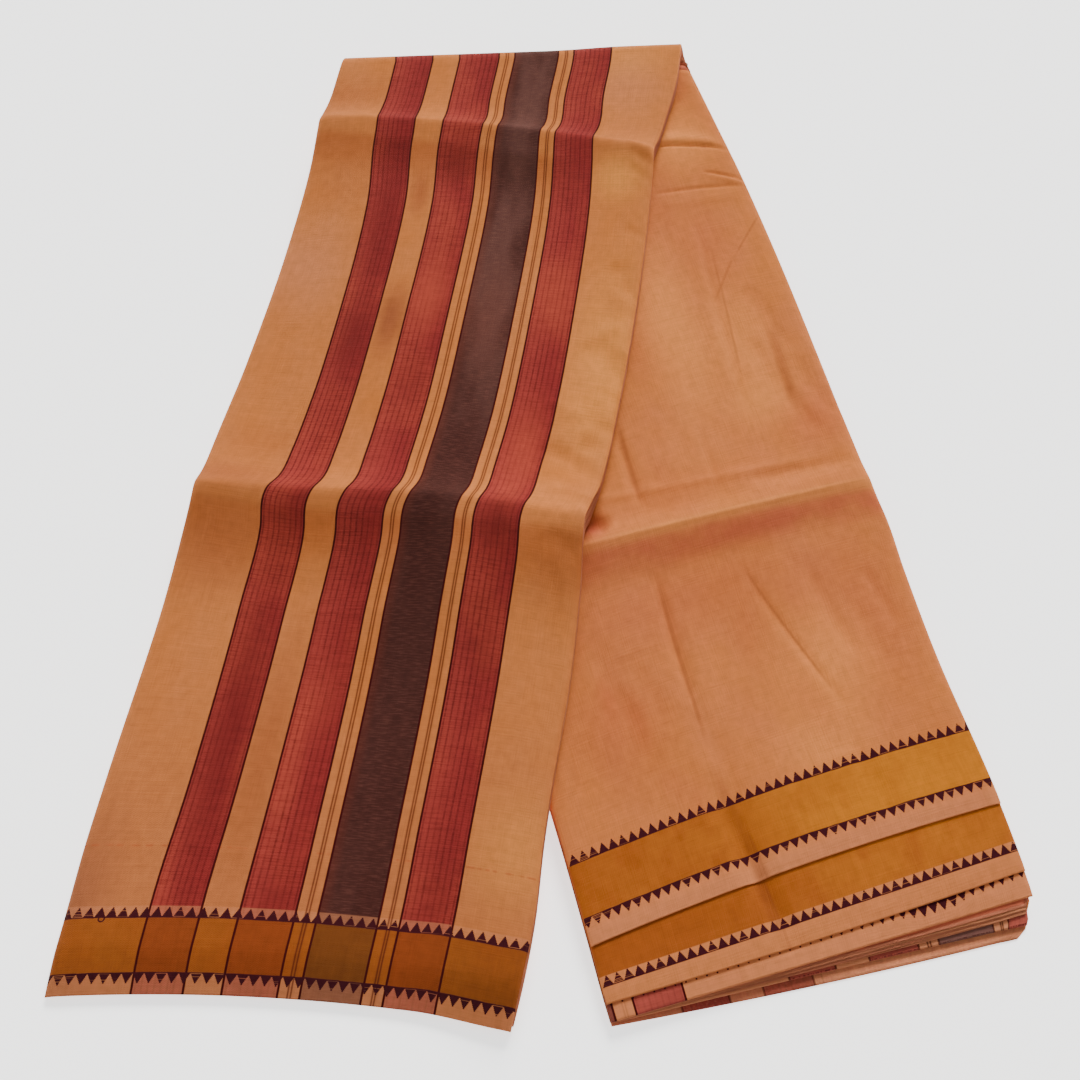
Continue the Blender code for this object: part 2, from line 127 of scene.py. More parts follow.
UPPER_EDGES = metres(  # along, left, right
    (-12, -114.7, 111), (10, -114.8, 111.7), (30, -115.4, 113.1), (60, -116.6, 114.1),
    (100, -116.8, 112.1), (200, -115.6, 111), (245, -115.8, 108.2), (275, -115, 105.3),
    (310, -115.8, 109.5), (370, -112.4, 111.4), (450, -108.2, 111.4), (520, -107.8, 108.9),
    (545, -109, 107.4), (564, -109.4, 105.8), (580, -108.4, 107.6), (600, -108, 109.4),
    (636, -107.9, 111.9), (660, -107.9, 111),
)
LOWER_EDGES = metres(
    (-60, -110.8, 107.2), (-40, -111.2, 109.4), (0, -110.8, 111.6), (86, -111.4, 111.8),
    (150, -113, 114.5), (181, -113, 116.2), (204, -113, 114.8), (240, -113, 116.6),
    (310, -113, 118.7), (430, -113, 120.2), (500, -112, 118.1), (580, -111, 115),
)


def place(leg, across, along):
    """A leg's across and along in world x and y: the hem's middle, plus along times the heading,
    plus across times the heading turned right."""
    x = leg.hem_x + across * np.sin(leg.heading) + along * np.cos(leg.heading)
    y = leg.hem_y - across * np.cos(leg.heading) + along * np.sin(leg.heading)
    return x, y


def measure(leg, x, y):
    """The other way: world x and y as a leg's across and along."""
    dx = x - leg.hem_x
    dy = y - leg.hem_y
    across = dx * np.sin(leg.heading) - dy * np.cos(leg.heading)
    along = dx * np.cos(leg.heading) + dy * np.sin(leg.heading)
    return across, along


def edges(table, along):
    """Where both side edges of a leg are."""
    return through(along, table, 1), through(along, table, 2)


def edge_to_edge(table, u, along):
    """The across of a point at share u between the two side edges of a leg."""
    return between(edges(table, along), u)


print("Legs open by", round(float(np.degrees(LOWER.heading - UPPER.heading)), 1), "degrees")

# %% [markdown]
# ## Ridges, swells and creases
#
# Two packing folds stand up across the upper leg and one across the lower, like low tents: two
# slopes that fall away by a fixed share for each length, on a rounded crest. Broad swells lift
# the cloth between them, as bells. Noise could scatter the small creases, but each has a cause,
# such as a tent, a pinch or a pull, so each is placed on its own line.

# %% Relief of a leg's face
# Each row: where its crest meets both side edges, how far the crest's middle stands off towards the
# fold, its height at both edges, how fast it falls away towards the hem and towards the fold, and
# the roundness of its crest.
UPPER_RIDGES = metres((274, 276, 5, 16.5, 12, 30, 20, 4), (553, 559, 6, 7.5, 9.5, 22, 10, 3))
LOWER_RIDGES = metres((203, 207, -1, 13, 7.5, 22, 22, 4))
UPPER_SWELLS = metres(  # along, across, height, reach along, reach across
    (120, -20, 1.5, 50, 70), (420, 20, 1.5, 70, 60), (490, -50, 1.2, 40, 50),
)
LOWER_SWELLS = metres(
    (95, 50, 1.2, 50, 35), (120, -40, 1.5, 60, 35), (340, 80, 1.5, 60, 45),
    (460, 90, 1.2, 30, 35),
)


def relief(across, along, u, ridges, swells, bluntness):
    """Each ridge adds its height times e to the minus (rounded distance over its run). Each swell
    adds its height times e to the minus of both its squared distances in reaches."""
    rise = np.zeros(np.broadcast(across, along).shape)
    for left_at, right_at, bow, left, right, front, back, blunt in ridges:
        far = along - between((left_at, right_at), u) - bow * (1 - 4 * u * u)
        blunt = blunt * bluntness
        rounded = np.sqrt(far**2 + blunt**2) - blunt
        rise = rise + between((left, right), u) * np.exp(-rounded / np.where(far > 0, back, front))
    for station, middle, height, reach_along, reach_across in swells:
        p = (along - station) / reach_along
        q = (across - middle) / reach_across
        rise = rise + height * np.exp(-p * p - q * q)
    return rise


# Each row: across and along of both its ends, its height, which is below zero for a trough, its
# width and, where it is bowed, how far its middle stands off the straight line.
UPPER_CREASES = metres(
    # beside the near tent: buckles that run from its crest to the right edge, and a pinch below
    (72, 330, 112, 303, -2.2, 6.2, -4), (80, 300, 112, 293, 1.4, 5),
    (98, 328, 108, 354, -1.8, 6, 1), (88, 346, 112, 338, 1, 6),
    (100, 286, 108, 262, 1.6, 2.6, -2), (84, 262, 106, 254, -1.2, 6, -2),
    (100, 252, 105, 222, 0.8, 4),
    # up the right side
    (88, 410, 112, 378, -2.2, 9, -3), (100, 425, 113, 402, 1.2, 6),
    (94, 470, 112, 448, -1.4, 7), (70, 365, 95, 352, 1, 7), (99, 456, 113, 443, -1.2, 3.5),
    (95.6, 499.1, 111, 492.5, -1, 3.5), (100, 418, 113, 409, -1, 4), (99, 376, 113, 368, -1, 4),
    # the pinch at the end of the far tent
    (86, 564, 108, 552, 0.7, 2.2, -2), (88, 557, 108, 547, -0.7, 2.6, -1),
    (92, 546, 108, 534, -0.7, 3, -1), (96, 536, 108, 520, -0.5, 3),
    # faint lengthwise waves and the marks of old folds
    (-35.8, 419.4, -5, 343.1, -0.9, 10), (-95, 150, -88, 20, -0.5, 9),
    (88, 215, 96, 60, 0.7, 9), (60, 200, 72, 100, -0.6, 10), (-100, 330, -90, 470, -0.6, 8),
    (-90, 224, 50, 228, -0.8, 10, 2), (-112, 72, 112, 73, 0.3, 2.2),
)
LOWER_CREASES = metres(
    # a second, faint fold behind the tent
    (-60, 235, 100, 229, 0.9, 3.5), (50, 223.5, 114, 224.5, -1.6, 5.5),
    (-45, 219, 50, 216, -0.7, 6),
    # the trough along the tent's foot
    (-75, 176, 113, 187, -1.2, 10, -2),
    # the crisp crest of the tent, and the dark pocket where the other leg crosses it
    (-70, 203, 115, 206.5, 0.7, 1.6, -0.6), (-56, 227, -38, 213, -5, 6),
    # towards the fold: sharp lines where the two legs pull against each other
    (56, 486, 119.5, 469.5, -1.9, 1.2, -4.5), (56, 491.5, 118, 475, 1.3, 4.2, -4.5),
    (86, 510, 112, 531, -1.6, 3.6), (96, 456.2, 119.5, 443, -1.2, 1.2, -0.8),
    (98, 452, 119.5, 440, 0.7, 2.2), (60, 446.2, 117, 439, -0.9, 1.6, -1),
    (60, 436, 119, 432, 0.6, 5),
    # long thin lines down the leg and across it
    (117, 418, 64, 344, -1.1, 1.5, 1.2), (113, 408, 62, 337, 0.6, 3, 1.2),
    (80, 420, 64, 278, -1, 1.7, 1), (74, 420, 59, 285, 0.8, 4.5, 1),
    (93.4, 333, 91.1, 268, -0.8, 1.6), (33.4, 273, 30.2, 218, -0.7, 2.2),
    (92, 360, 105, 305, -1.3, 6, 1), (79, 322, 97, 248, -1.6, 6.5, -3),
    (104, 305, 113, 255, -1.3, 6), (86, 310, 106, 252, 0.9, 6),
    (-13.4, 283, -15.2, 220, -1.7, 2.6, 1), (16, 290, 22, 246, -0.6, 4.5),
    # below the tent
    (-20.7, 184, -23.6, 103, -2.1, 2.9, 1), (-11, 156, -17, 76, 0.9, 5.5),
    (25.5, 177, 54.5, 79, -1.5, 1.8, 1), (20, 160, 48, 90, 0.4, 4), (59, 174, 70, 106, -1.4, 5),
    (92, 156, 98.5, 118, -1.2, 2.8), (76, 150, 85, 90, -0.7, 5),
    (-65, 150, -56, 96, -1.2, 6, 2), (-50, 138, -40, 90, -0.8, 5.5),
    (-78, 110, -60, 56, 0.8, 8), (-18.5, 96, -21.4, -5, -1.2, 5, -1), (48, 72, 56, 14, -0.7, 5),
    (-29, 60, -13, -38, -2.2, 5.5, 2), (-88, 200, -90, 120, -1, 6),
)


def creases(across, along, lines):
    """Each crease is a bell across its line, height times e to the minus of the squared distance
    over its width, and fades to nothing at both ends as 1 minus the fourth power of the place."""
    rise = np.zeros(np.broadcast(across, along).shape)
    for line in lines:
        start_across, start_along, end_across, end_along, height, width, bow = (*line, 0)[:7]
        run = np.array([end_across - start_across, end_along - start_along])
        length = np.hypot(*run)
        run = run / length
        dx, dy = across - start_across, along - start_along
        place_on = 2 * (dx * run[0] + dy * run[1]) / length - 1
        off = dx * run[1] - dy * run[0] - bow * (1 - place_on**2)
        fade = np.clip(1 - place_on**4, 0, 1)
        rise = rise + height * fade * np.exp(-((off / width) ** 2))
    return rise


print(len(UPPER_CREASES), "creases on the upper leg,", len(LOWER_CREASES), "on the lower leg")

# %% [markdown]
# ## The faces and undersides of the legs
#
# The upper leg lies on the lower one where they cross, and comes down to the surface beside it. A
# cloth simulation could find that drape, but it would slide the stripes about. So the height is
# summed: what carries the leg, its own stack, its relief, the drop at its soft edges and the rise
# to the fold.

# %% Heights of both legs
LOWER_TOP = LAYER + LEG_STACK
UPPER_GAP = 2 * FOLD_AIR
BRIDGING = 3  # how much blunter than the lower leg's tent the underside that bridges it is
STACK_BLUNTNESS = 8  # and the face above it
STACK_REACH = 0.11  # how far past the lower leg the face comes down
DRAPE_START, DRAPE_REACH = 0.018, 0.028  # and where the underside does
FOLD_BLEND, FOLD_LEVEL = 0.042, 0.004  # how far before the fold a face starts to level, and ends
FAN_TOP = 0.045  # where the fan's hems go under the leg
FAN_CALM = 0.1125
EDGE_ROUND = 0.0085
EDGE_DROP = 0.0026
FAN_EDGE_SHARE = 0.25


def edge_drop(across, left, right):
    """How far a face drops beside its edges: a quarter of an ellipse, level further in."""
    share = 1 - np.clip(np.minimum(across - left, right - across) / EDGE_ROUND, 0, 1)
    return EDGE_DROP * (1 - np.sqrt(np.maximum(1 - share**2, 0)))


def lower_face(across, along, bluntness=1, creased=1):
    """The lower leg's face: its stack, plus relief and creases, eased level at the fold, less the
    drop at its edges, which is small in the fan."""
    left, right = edges(LOWER_EDGES, along)
    u = np.clip(across / (right - left), -0.5, 0.5)
    face = LOWER_TOP + relief(across, along, u, LOWER_RIDGES, LOWER_SWELLS, bluntness)
    face = face + creased * creases(across, along, LOWER_CREASES)
    at_fold = LOWER.fold_along - np.tan(FOLD_TILT) * across
    face = face + (LOWER_TOP - face) * ease(along, at_fold - FOLD_BLEND, at_fold - FOLD_LEVEL)
    drop = FAN_EDGE_SHARE + (1 - FAN_EDGE_SHARE) * ease(along, FAN_TOP, FAN_CALM)
    return face - drop * edge_drop(across, left, right)


def carried(x, y, bluntness, start, reach, creased):
    """What carries the upper leg: the lower leg's face, and from start past its edge a smooth fall
    to the surface over reach."""
    across, along = measure(LOWER, x, y)
    left, right = edges(LOWER_EDGES, along)
    held = np.clip(across, left + EDGE_ROUND, right - EDGE_ROUND)
    over = lower_face(held, along, bluntness, creased) + UPPER_GAP
    return over * (1 - ease(left - across, start, start + reach))


def upper_face(u, along, x, y):
    """The upper leg's face: a seat blunter than what carries it, plus stack, relief and creases,
    less the drop at its edges, eased to the top of the fold."""
    left, right = edges(UPPER_EDGES, along)
    across = between((left, right), u)
    seat = carried(x, y, STACK_BLUNTNESS, 0, STACK_REACH, 0)
    share = np.clip(across / (right - left), -0.5, 0.5)
    face = seat + LEG_STACK + LAYER
    face = face + relief(across, along, share, UPPER_RIDGES, UPPER_SWELLS, 1)
    face = face + creases(across, along, UPPER_CREASES) - edge_drop(across, left, right)
    at_fold = UPPER.fold_along + np.tan(FOLD_TILT) * across
    return face + (2 * FOLD_RADIUS - face) * ease(along, at_fold - FOLD_BLEND, at_fold)


middle = upper_face(0, 0.275, *place(UPPER, 0, 0.275))
print(f"The taller tent stands {1000 * float(middle):.1f} mm high in the middle of the upper leg")

# %% [markdown]
# ## From cloth to place
#
# A thread that runs across the cloth is square to the leg in its middle, slanted with the hem at
# the foot and along the fold at the top. So each surface is a function of two numbers: u, from
# -0.5 at the left edge to 0.5 at the right, and v, the way up from the hem. They carry the
# stripes and borders too, which therefore bend with the cloth.

# %% The surfaces of the band, from the upper hem round the fold to the fan
UPPER_HEM = (-0.0119, 0.0119, 0.0065)  # along at the left, at the right, and bow
FACE_HEM = (-0.0084, 0.0084, 0.0035)
REVERSE_HEM = (-0.037, -0.0277, -0.0014)
MARGIN_HEM = (-0.0456, -0.0404, -0.0002)
HIDDEN_HEM = (-0.0442, -0.0432, -0.0002)
HIDDEN_SPREAD = (0.0004, 0.005)  # how much further out its lowest level is
STRIPE_HEM = (-0.0451, -0.0527, 0.0004)
PALLU_HEM = (-0.0462, -0.0575, -0.0018)
UPPER_HEM_DROOP = 0.003  # how far its right corner hangs lower
UPPER_HEM_DROOP_START = 0.28
UPPER_HEM_FADE = 0.27
UPPER_HEM_SHARE = 0.3  # of the stack, at the hem
UPPER_HEM_START = -0.0072
UPPER_HEM_FULL = 0.024
FAN_SAG = 0.0008
FACE_TOP = 0.004  # how far into the fold the lower leg's face runs
LEDGE = 0.0012  # how far a stretch runs on past where it goes under
FOLD_EDGES = (-0.1079, 0.111)
FOLD_STEP = 0.0026
FOLD_STEP_AT = (0.1, 0.34)
FOLD_ROUND = 0.003
FOLD_ROUND_START = 0.42
TUCK_START = 0.38
CORNER_TUCK = metres(  # along, and how far the lowest hems' right corners are tucked in
    (-60, 16.5), (-57.5, 12.5), (-54, 7.2), (-50, 4.8), (-43, 4), (-40.6, 0),
)


def hem_line(hem, u):
    """A straight line between a hem's ends, plus its bow times 1 minus the square of 2 u."""
    return between(hem, u) + hem[2] * (1 - 4 * u * u)


def upper_along(u, v):
    """v, plus the hem's slant and bow, which fade on the way up, plus the fold's slant."""
    hem = hem_line(UPPER_HEM, u) - UPPER_HEM_DROOP * ease(u, UPPER_HEM_DROOP_START, 0.5)
    slant = np.tan(FOLD_TILT) * between(FOLD_EDGES, u) + FOLD_STEP * ease(u, *FOLD_STEP_AT)
    top = slant * ease(v, UPPER_HEM_FADE, UPPER.fold_along)
    return v + (1 - ease(v, 0, UPPER_HEM_FADE)) * hem + top


def lower_along(u, q):
    """q, plus the fold's slant the other way, from the fan up."""
    slant = -np.tan(FOLD_TILT) * between(FOLD_EDGES, u)
    return q + slant * ease(q, FAN_TOP, LOWER.fold_along)


def upper_surface(u, v):
    """x, y, face and underside of the upper leg. Towards its hem the stack thins to a share."""
    along = upper_along(u, v)
    x, y = place(UPPER, edge_to_edge(UPPER_EDGES, u, along), along)
    underside = carried(x, y, BRIDGING, DRAPE_START, DRAPE_REACH, 1)
    full = ease(v, UPPER_HEM_START, UPPER_HEM_FULL)
    keep = UPPER_HEM_SHARE + (1 - UPPER_HEM_SHARE) * full
    return x, y, underside + (upper_face(u, along, x, y) - underside) * keep, underside


def fold_line(u):
    """x and y of the fold's axis."""
    along = upper_along(u, UPPER.fold_along)
    return place(UPPER, edge_to_edge(UPPER_EDGES, u, along), along)


def lower_plan(u, along):
    """x and y of the lower leg, less the tuck at the right corner of its lowest hems."""
    tuck = np.interp(along, *np.transpose(CORNER_TUCK)) * ease(u, TUCK_START, 0.5)
    return place(LOWER, edge_to_edge(LOWER_EDGES, u, along) - tuck, along)


def fold_surface(u, turn, radius):
    """Points round the fold: a half turn about its axis at a radius. On the way down it shifts
    evenly to where the lower leg starts, and its left corner is drawn in by the turn's sine."""
    x, y = fold_line(u)
    start_x, start_y = lower_plan(u, lower_along(u, LOWER.fold_along))
    square = UPPER.heading + FOLD_TILT
    inward = FOLD_ROUND * np.sin(turn) * ease(-u, FOLD_ROUND_START, 0.5)
    outward = radius * np.sin(turn)
    x = x + (start_x - x) * turn / np.pi + inward * np.sin(square) + outward * np.cos(square)
    y = y + (start_y - y) * turn / np.pi - inward * np.cos(square) + outward * np.sin(square)
    return x, y, FOLD_RADIUS + radius * np.cos(turn)


def lower_surface(u, along):
    """x, y and face of the lower leg, whose fan sags a little towards its last hem."""
    x, y = lower_plan(u, along)
    sag = FAN_SAG * (1 - ease(along, MARGIN_HEM[0], FAN_TOP))
    return x, y, lower_face(edge_to_edge(LOWER_EDGES, u, along), along) - sag


def fan_along(u, hem, rows):
    """Straight at the hidden start, where rows is 1, and slanted as the hem where it is 0."""
    return FAN_TOP * rows + hem_line(hem, u) * (1 - rows)


x, y, face, underside = upper_surface(np.linspace(-0.5, 0.5, 9)[:, None], np.linspace(0, 0.63, 90))
print(f"The upper leg's face is {1000 * face.min():.1f} to {1000 * face.max():.1f} mm high")

# %% [markdown]
# ## From grids to cloths
#
# A stretch of cloth is a bent block of points: u across it, v along it, and levels from its
# underside to its face. A plane with Solidify would have square edges. Here the middle levels
# stand out at both sides, because a side edge of the band is a round fold, while a hem is one
# thickness of cotton and lies down on what is below it. Each point's place in the cloth, in
# metres, is the piece's UV map.

# %% Blocks and their UV maps
def added(name, data):
    """A new object in the scene."""
    new = bpy.data.objects.new(name, data)
    bpy.context.scene.collection.objects.link(new)
    return new


def crowd(start, end, count, bends, crowding=4, reach=0.012):
    """Stations from start to end, even along the running total of a density that is 1 plus
    crowding times e to the minus of each bend's distance over reach."""
    fine = np.linspace(start, end, 3001)
    far = np.abs(fine[:, None] - np.array(bends)[None, :])
    total = np.cumsum(1 + crowding * np.exp(-far / reach).sum(axis=1))
    return np.interp(np.linspace(total[0], total[-1], count), total, fine)


SIDE = np.array([0, 0.0008, 0.0018, 0.0034]) / BAND  # in from a side edge, where it is round
INNER = 0.5 - 0.0062 / BAND
INNER_ACROSS = np.linspace(-INNER, INNER, 107)
ACROSS = np.concatenate([-0.5 + SIDE, INNER_ACROSS, 0.5 - SIDE[::-1]])[:, None]


def block(name, points, cloth):
    """A closed mesh over the six sides of a block of points, u by v by level, in quads that face
    out. cloth holds each point's place in the cloth, and becomes the UV map of that name."""
    counts = points.shape[:3]
    index = np.arange(np.prod(counts)).reshape(counts)
    ends = (index[0, ::-1, :], index[-1, :, :], index[:, 0, :], index[::-1, -1, :])
    quads = []
    for side in (index[:, :, -1], index[:, ::-1, 0], *ends):
        corners = (side[:-1, :-1], side[1:, :-1], side[1:, 1:], side[:-1, 1:])
        quads.append(np.stack([corner.ravel() for corner in corners], axis=-1))
    used, faces = np.unique(np.concatenate(quads), return_inverse=True)
    mesh = bpy.data.meshes.new(name)
    mesh.from_pydata(points.reshape(-1, 3)[used].tolist(), [], faces.reshape(-1, 4).tolist())
    mesh.shade_smooth()
    corner_of = np.zeros(len(mesh.loops), dtype=np.int32)
    mesh.loops.foreach_get("vertex_index", corner_of)
    places = cloth.reshape(-1, 2)[used][corner_of]
    mesh.uv_layers.new(name="cloth").uv.foreach_set("vector", places.ravel())
    print(f"{name}: {2 * len(mesh.polygons)} triangles")
    return added(name, mesh)


LEVELS = np.array([0, 0.25, 0.5, 0.75, 1])
SIDE_OUT = 0.0006
HEM_THIN = (0.001, 0.009)  # the way in over which a hem takes up its whole room
HEM_LIE = 0.007  # and over which it lies down


def sideways(points):
    """Unit steps from the left side of each row of a block to its right side, in x and y."""
    across = points[-1, :, :, :2] - points[0, :, :, :2]
    return across / np.linalg.norm(across, axis=-1, keepdims=True)


def rounded(points):
    """The middle levels of both sides stand out by SIDE_OUT times the sine of a half turn."""
    step = sideways(points) * (SIDE_OUT * np.sin(np.pi * LEVELS))[None, :, None]
    points[0, :, :, :2] -= step
    points[-1, :, :, :2] += step
    return points


def stacked(levels):
    """One block of points from its levels, each an x, y and z over the same rows."""
    return np.stack([np.stack(np.broadcast_arrays(*level), axis=-1) for level in levels], axis=2)


def thin_hem(distance):
    """The cotton's own thickness at a hem, and all of a stretch's room further in."""
    return CLOTH + (WALL - CLOTH) * ease(distance, *HEM_THIN)


def laid(x, y, face, from_hem):
    """A stretch's levels from its face down. Its hem is thin, and lies on what is below it."""
    face = face - (WALL - CLOTH) * (1 - ease(from_hem, 0, HEM_LIE))
    return stacked([(x, y, face - thin_hem(from_hem) * (1 - t)) for t in LEVELS])


def run_of(points):
    """How far along the middle of a block's face each of its rows is from the first: the sum of
    the rows' spacing up to it."""
    middle = points[len(points) // 2, :, -1, :]
    return np.append(0, np.cumsum(np.linalg.norm(np.diff(middle, axis=0), axis=-1)))


def cloth_map(across, along):
    """Places in the cloth, the same for all levels."""
    flat = np.stack(np.broadcast_arrays(across, along), axis=-1)
    return np.repeat(flat[:, :, None, :], len(LEVELS), axis=2)


print("Each row of a stretch has", len(ACROSS), "points across")

# %% [markdown]
# ## The striped end, or pallu
#
# This stretch runs from its hem over both tents, turns round the fold and goes back as the lowest
# one of the lower leg, to an end under the fan. It could be three pieces, but as one, like the
# cloth, it shows no seam at the fold.

# %% The striped end
SLIP = (  # way up from the hem, and the stripes' slip to the right at the left, middle and right
    (0, -0.007, 0, -0.003), (0.048, -0.007, 0.001, -0.003), (0.1, 0.004, 0.005, 0.003),
    (0.215, 0, 0.001, 0.002), (0.255, 0.004, 0.01, 0.008), (0.271, -0.005, 0.008, 0.008),
    (0.288, 0.016, 0.03, 0.016), (0.31, 0.022, 0.028, 0.009), (0.35, 0.026, 0.025, 0.009),
    (0.427, 0.022, 0.01, 0), (0.504, 0.01, 0.002, -0.008), (0.55, -0.01, -0.007, -0.018),
    (0.566, -0.011, -0.002, -0.019), (0.592, -0.018, -0.018, -0.035),
    (0.632, -0.028, -0.03, -0.043),
)
SLIP_AT = (-0.26, -0.04, 0.28)


def slip(u, along):
    """How far the stripes lie from their true place, as a share of the band: through the table's
    columns along the leg, and on straight lines between them across it."""
    left, middle, right = [through(along, SLIP, column) for column in (1, 2, 3)]
    near_left = (u - SLIP_AT[0]) / (SLIP_AT[1] - SLIP_AT[0])
    near_right = (u - SLIP_AT[1]) / (SLIP_AT[2] - SLIP_AT[1])
    first = left + (middle - left) * np.clip(near_left, 0, 1)
    return first + (right - middle) * np.clip(near_right, 0, 1)


UPPER_TENTS = (0.277, 0.563)  # where more rows are needed
UPPER_ROWS = crowd(0.0045, UPPER.fold_along, 300, UPPER_TENTS)
UPPER_ROWS = np.concatenate([[0, 0.0008, 0.002], UPPER_ROWS])
TURN = np.linspace(0, np.pi, 17)[1:-1]
FLOOR_ROWS = np.linspace(LOWER.fold_along - FACE_TOP, FAN_TOP, 34)
HEM_ROWS = np.array([0.75, 0.5, 0.3, 0.16, 0.1, 0.06, 0.035, 0.015, 0])


def striped_end():
    """The upper leg's face, then a half turn at the fold's radius, then the surface."""
    x, y, face, _ = upper_surface(ACROSS, UPPER_ROWS)
    over = laid(x, y, face, UPPER_ROWS)
    turn = stacked([fold_surface(ACROSS, TURN, FOLD_RADIUS - WALL * (1 - t)) for t in LEVELS])
    flat_along = lower_along(ACROSS, np.append(LOWER.fold_along, FLOOR_ROWS))
    hem_along = fan_along(ACROSS, PALLU_HEM, HEM_ROWS)
    x, y = lower_plan(ACROSS, np.concatenate([flat_along, hem_along], axis=1))
    thick = np.full(x.shape[1], WALL)
    thick[-len(HEM_ROWS) :] = thin_hem(FAN_TOP * HEM_ROWS)
    under = stacked([(x, y, thick * (1 - t)) for t in LEVELS])
    points = rounded(np.concatenate([over, turn, under], axis=1))
    along = run_of(points)
    count = len(UPPER_ROWS)
    along[count:] += UPPER_ROWS[-1] - along[count - 1]
    along[:count] = UPPER_ROWS
    across = BAND * (ACROSS + 0.5 - slip(ACROSS, along[None, :]))
    print(f"The striped end is {along[-1]:.3f} m long")
    return block("striped_end", points, cloth_map(across, along[None, :])), float(along[-1])


striped, STRIPED_LENGTH = striped_end()

# %% [markdown]
# ## The plain stretches of the lower leg
#
# The lower leg shows one long plain stretch, and below its hem the hems of three more, each a
# little lower and further out, as when a pile of pleats slips. They share the leg's face, so each
# is that surface lowered by its place in the pile.

# %% The long plain stretch and the fan
FAN_ROWS = np.array([0, 0.012, 0.03, 0.06, 0.1, 0.15, 0.2, 0.26, 0.33, 0.4, 0.5, 0.62, 0.8, 1])
FACE_START = LOWER.fold_along - FACE_TOP
FACE_ROWS = crowd(FACE_START - LEDGE, FAN_TOP + LEDGE, 280, (0.205, 0.23, 0.452, 0.482))
FACE_HEM_ROWS = [0.95, 0.85, 0.75, 0.65, 0.55, 0.45, 0.36, 0.28, 0.21, 0.15, 0.1, 0.06]
FACE_HEM_ROWS = np.array(FACE_HEM_ROWS + [0.03, 0.012, 0])
REVERSE_LINE = (-0.0292, -0.0172)  # where the reverse border's triangles stand
MARGIN_SLIPPED = 0.667  # how far its stripes lie to the right, as a share of the band
STRIPE_SLIPPED = -0.222
MARGIN_LINE = 0.0115  # where the margin layer's triangles hang from, up from its hem
TRIANGLE = 0.0052  # its height
MARGIN_SHOWN = (  # u, and how much of a triangle the hem above leaves in sight
    (-0.5, 0.13), (-0.03, 0.14), (0.07, 0.24), (0.19, 0.5), (0.24, 1), (0.32, 1), (0.36, 0.56),
    (0.44, 0.54), (0.5, 0.45),
)


def plain_face():
    """The lower leg's face from inside the fold to its hem, which bows and lies down."""
    hem = fan_along(ACROSS, FACE_HEM, FACE_HEM_ROWS)
    along = np.concatenate([lower_along(ACROSS, FACE_ROWS), hem], axis=1)[:, ::-1]
    x, y, face = lower_surface(ACROSS, along)
    from_hem = along - hem_line(FACE_HEM, ACROSS)
    points = rounded(laid(x, y, face, from_hem))
    return block("plain_face", points, cloth_map(BAND * (ACROSS + 0.5), from_hem))


def fan_layer(name, hem, covers, line, slipped):
    """A stretch of the fan, so many layers below the leg's face, or level with no layers given.
    Its place in the cloth is the way up from a line across the leg."""
    along = fan_along(ACROSS, hem, FAN_ROWS) - FAN_ROWS * 2 * LEDGE
    x, y, face = lower_surface(ACROSS, along)
    foot = 0.5 * (hem[0] + hem[1])
    if covers is None:
        face, foot = LAYER + WALL, hem[0]
    else:
        face = face - covers * LAYER
    points = rounded(laid(x, y, face, (FAN_TOP - foot) * FAN_ROWS))
    return block(name, points, cloth_map(BAND * (ACROSS + 0.5 + slipped), along - line))


def margin_line():
    """The line across the leg from which the margin's pattern is counted: where a triangle's
    shown share stands clear of the hem above, less the triangles' own way up from their hem."""
    above = hem_line(REVERSE_HEM, ACROSS)
    shown = np.interp(ACROSS, *np.transpose(MARGIN_SHOWN))
    return above + (1 - shown) * TRIANGLE - MARGIN_LINE


plain = plain_face()
reverse = fan_layer("reverse_border", REVERSE_HEM, 1, between(REVERSE_LINE, ACROSS), 0)
margin = fan_layer("margin_layer", MARGIN_HEM, 2, margin_line(), MARGIN_SLIPPED)
worn_end = fan_layer("stripe_end", STRIPE_HEM, None, between(STRIPE_HEM, ACROSS), STRIPE_SLIPPED)

# %% [markdown]
# ## The hidden layers
#
# Of the stretches in between, only folded edges and hems peep out. To model each would hide
# thousands of faces, so they share one solid, whose sides are a row of low rounds. Each fold
# stands out by its own slowly changing amount, because no pile is pleated exactly.

# %% The hidden layers
FOLDS = 7
FOLD_OUT = 0.0016
FOLD_STEPS = 6
HIDDEN_LEVELS = np.linspace(0, 1, FOLDS * FOLD_STEPS + 1)
HIDDEN_ACROSS = np.concatenate([[-0.5], np.linspace(-0.492, 0.492, 45), [0.5]])[:, None]
HIDDEN_SETBACK = 0.004
FOLD_SHARPNESS = 0.7
FOLD_INSET = 0.62  # the share of its depth that a fold is set in by
FOLD_DRIFT = 0.0003


def fold_out(level, station, side):
    """How far the edge stands out at a level: a half sine for each fold, less a share, plus the
    fold's own drift, a slow sine along the leg with a phase of its own."""
    fold = np.minimum(np.floor(level * FOLDS), FOLDS - 1)
    drift = np.sin(9 * station + 2.4 * fold + 1.7 * side) + np.sin(23 * station + 4.1 * fold)
    round_side = np.abs(np.sin(np.pi * FOLDS * level))
    return FOLD_OUT * (round_side**FOLD_SHARPNESS - FOLD_INSET) + FOLD_DRIFT * drift * round_side


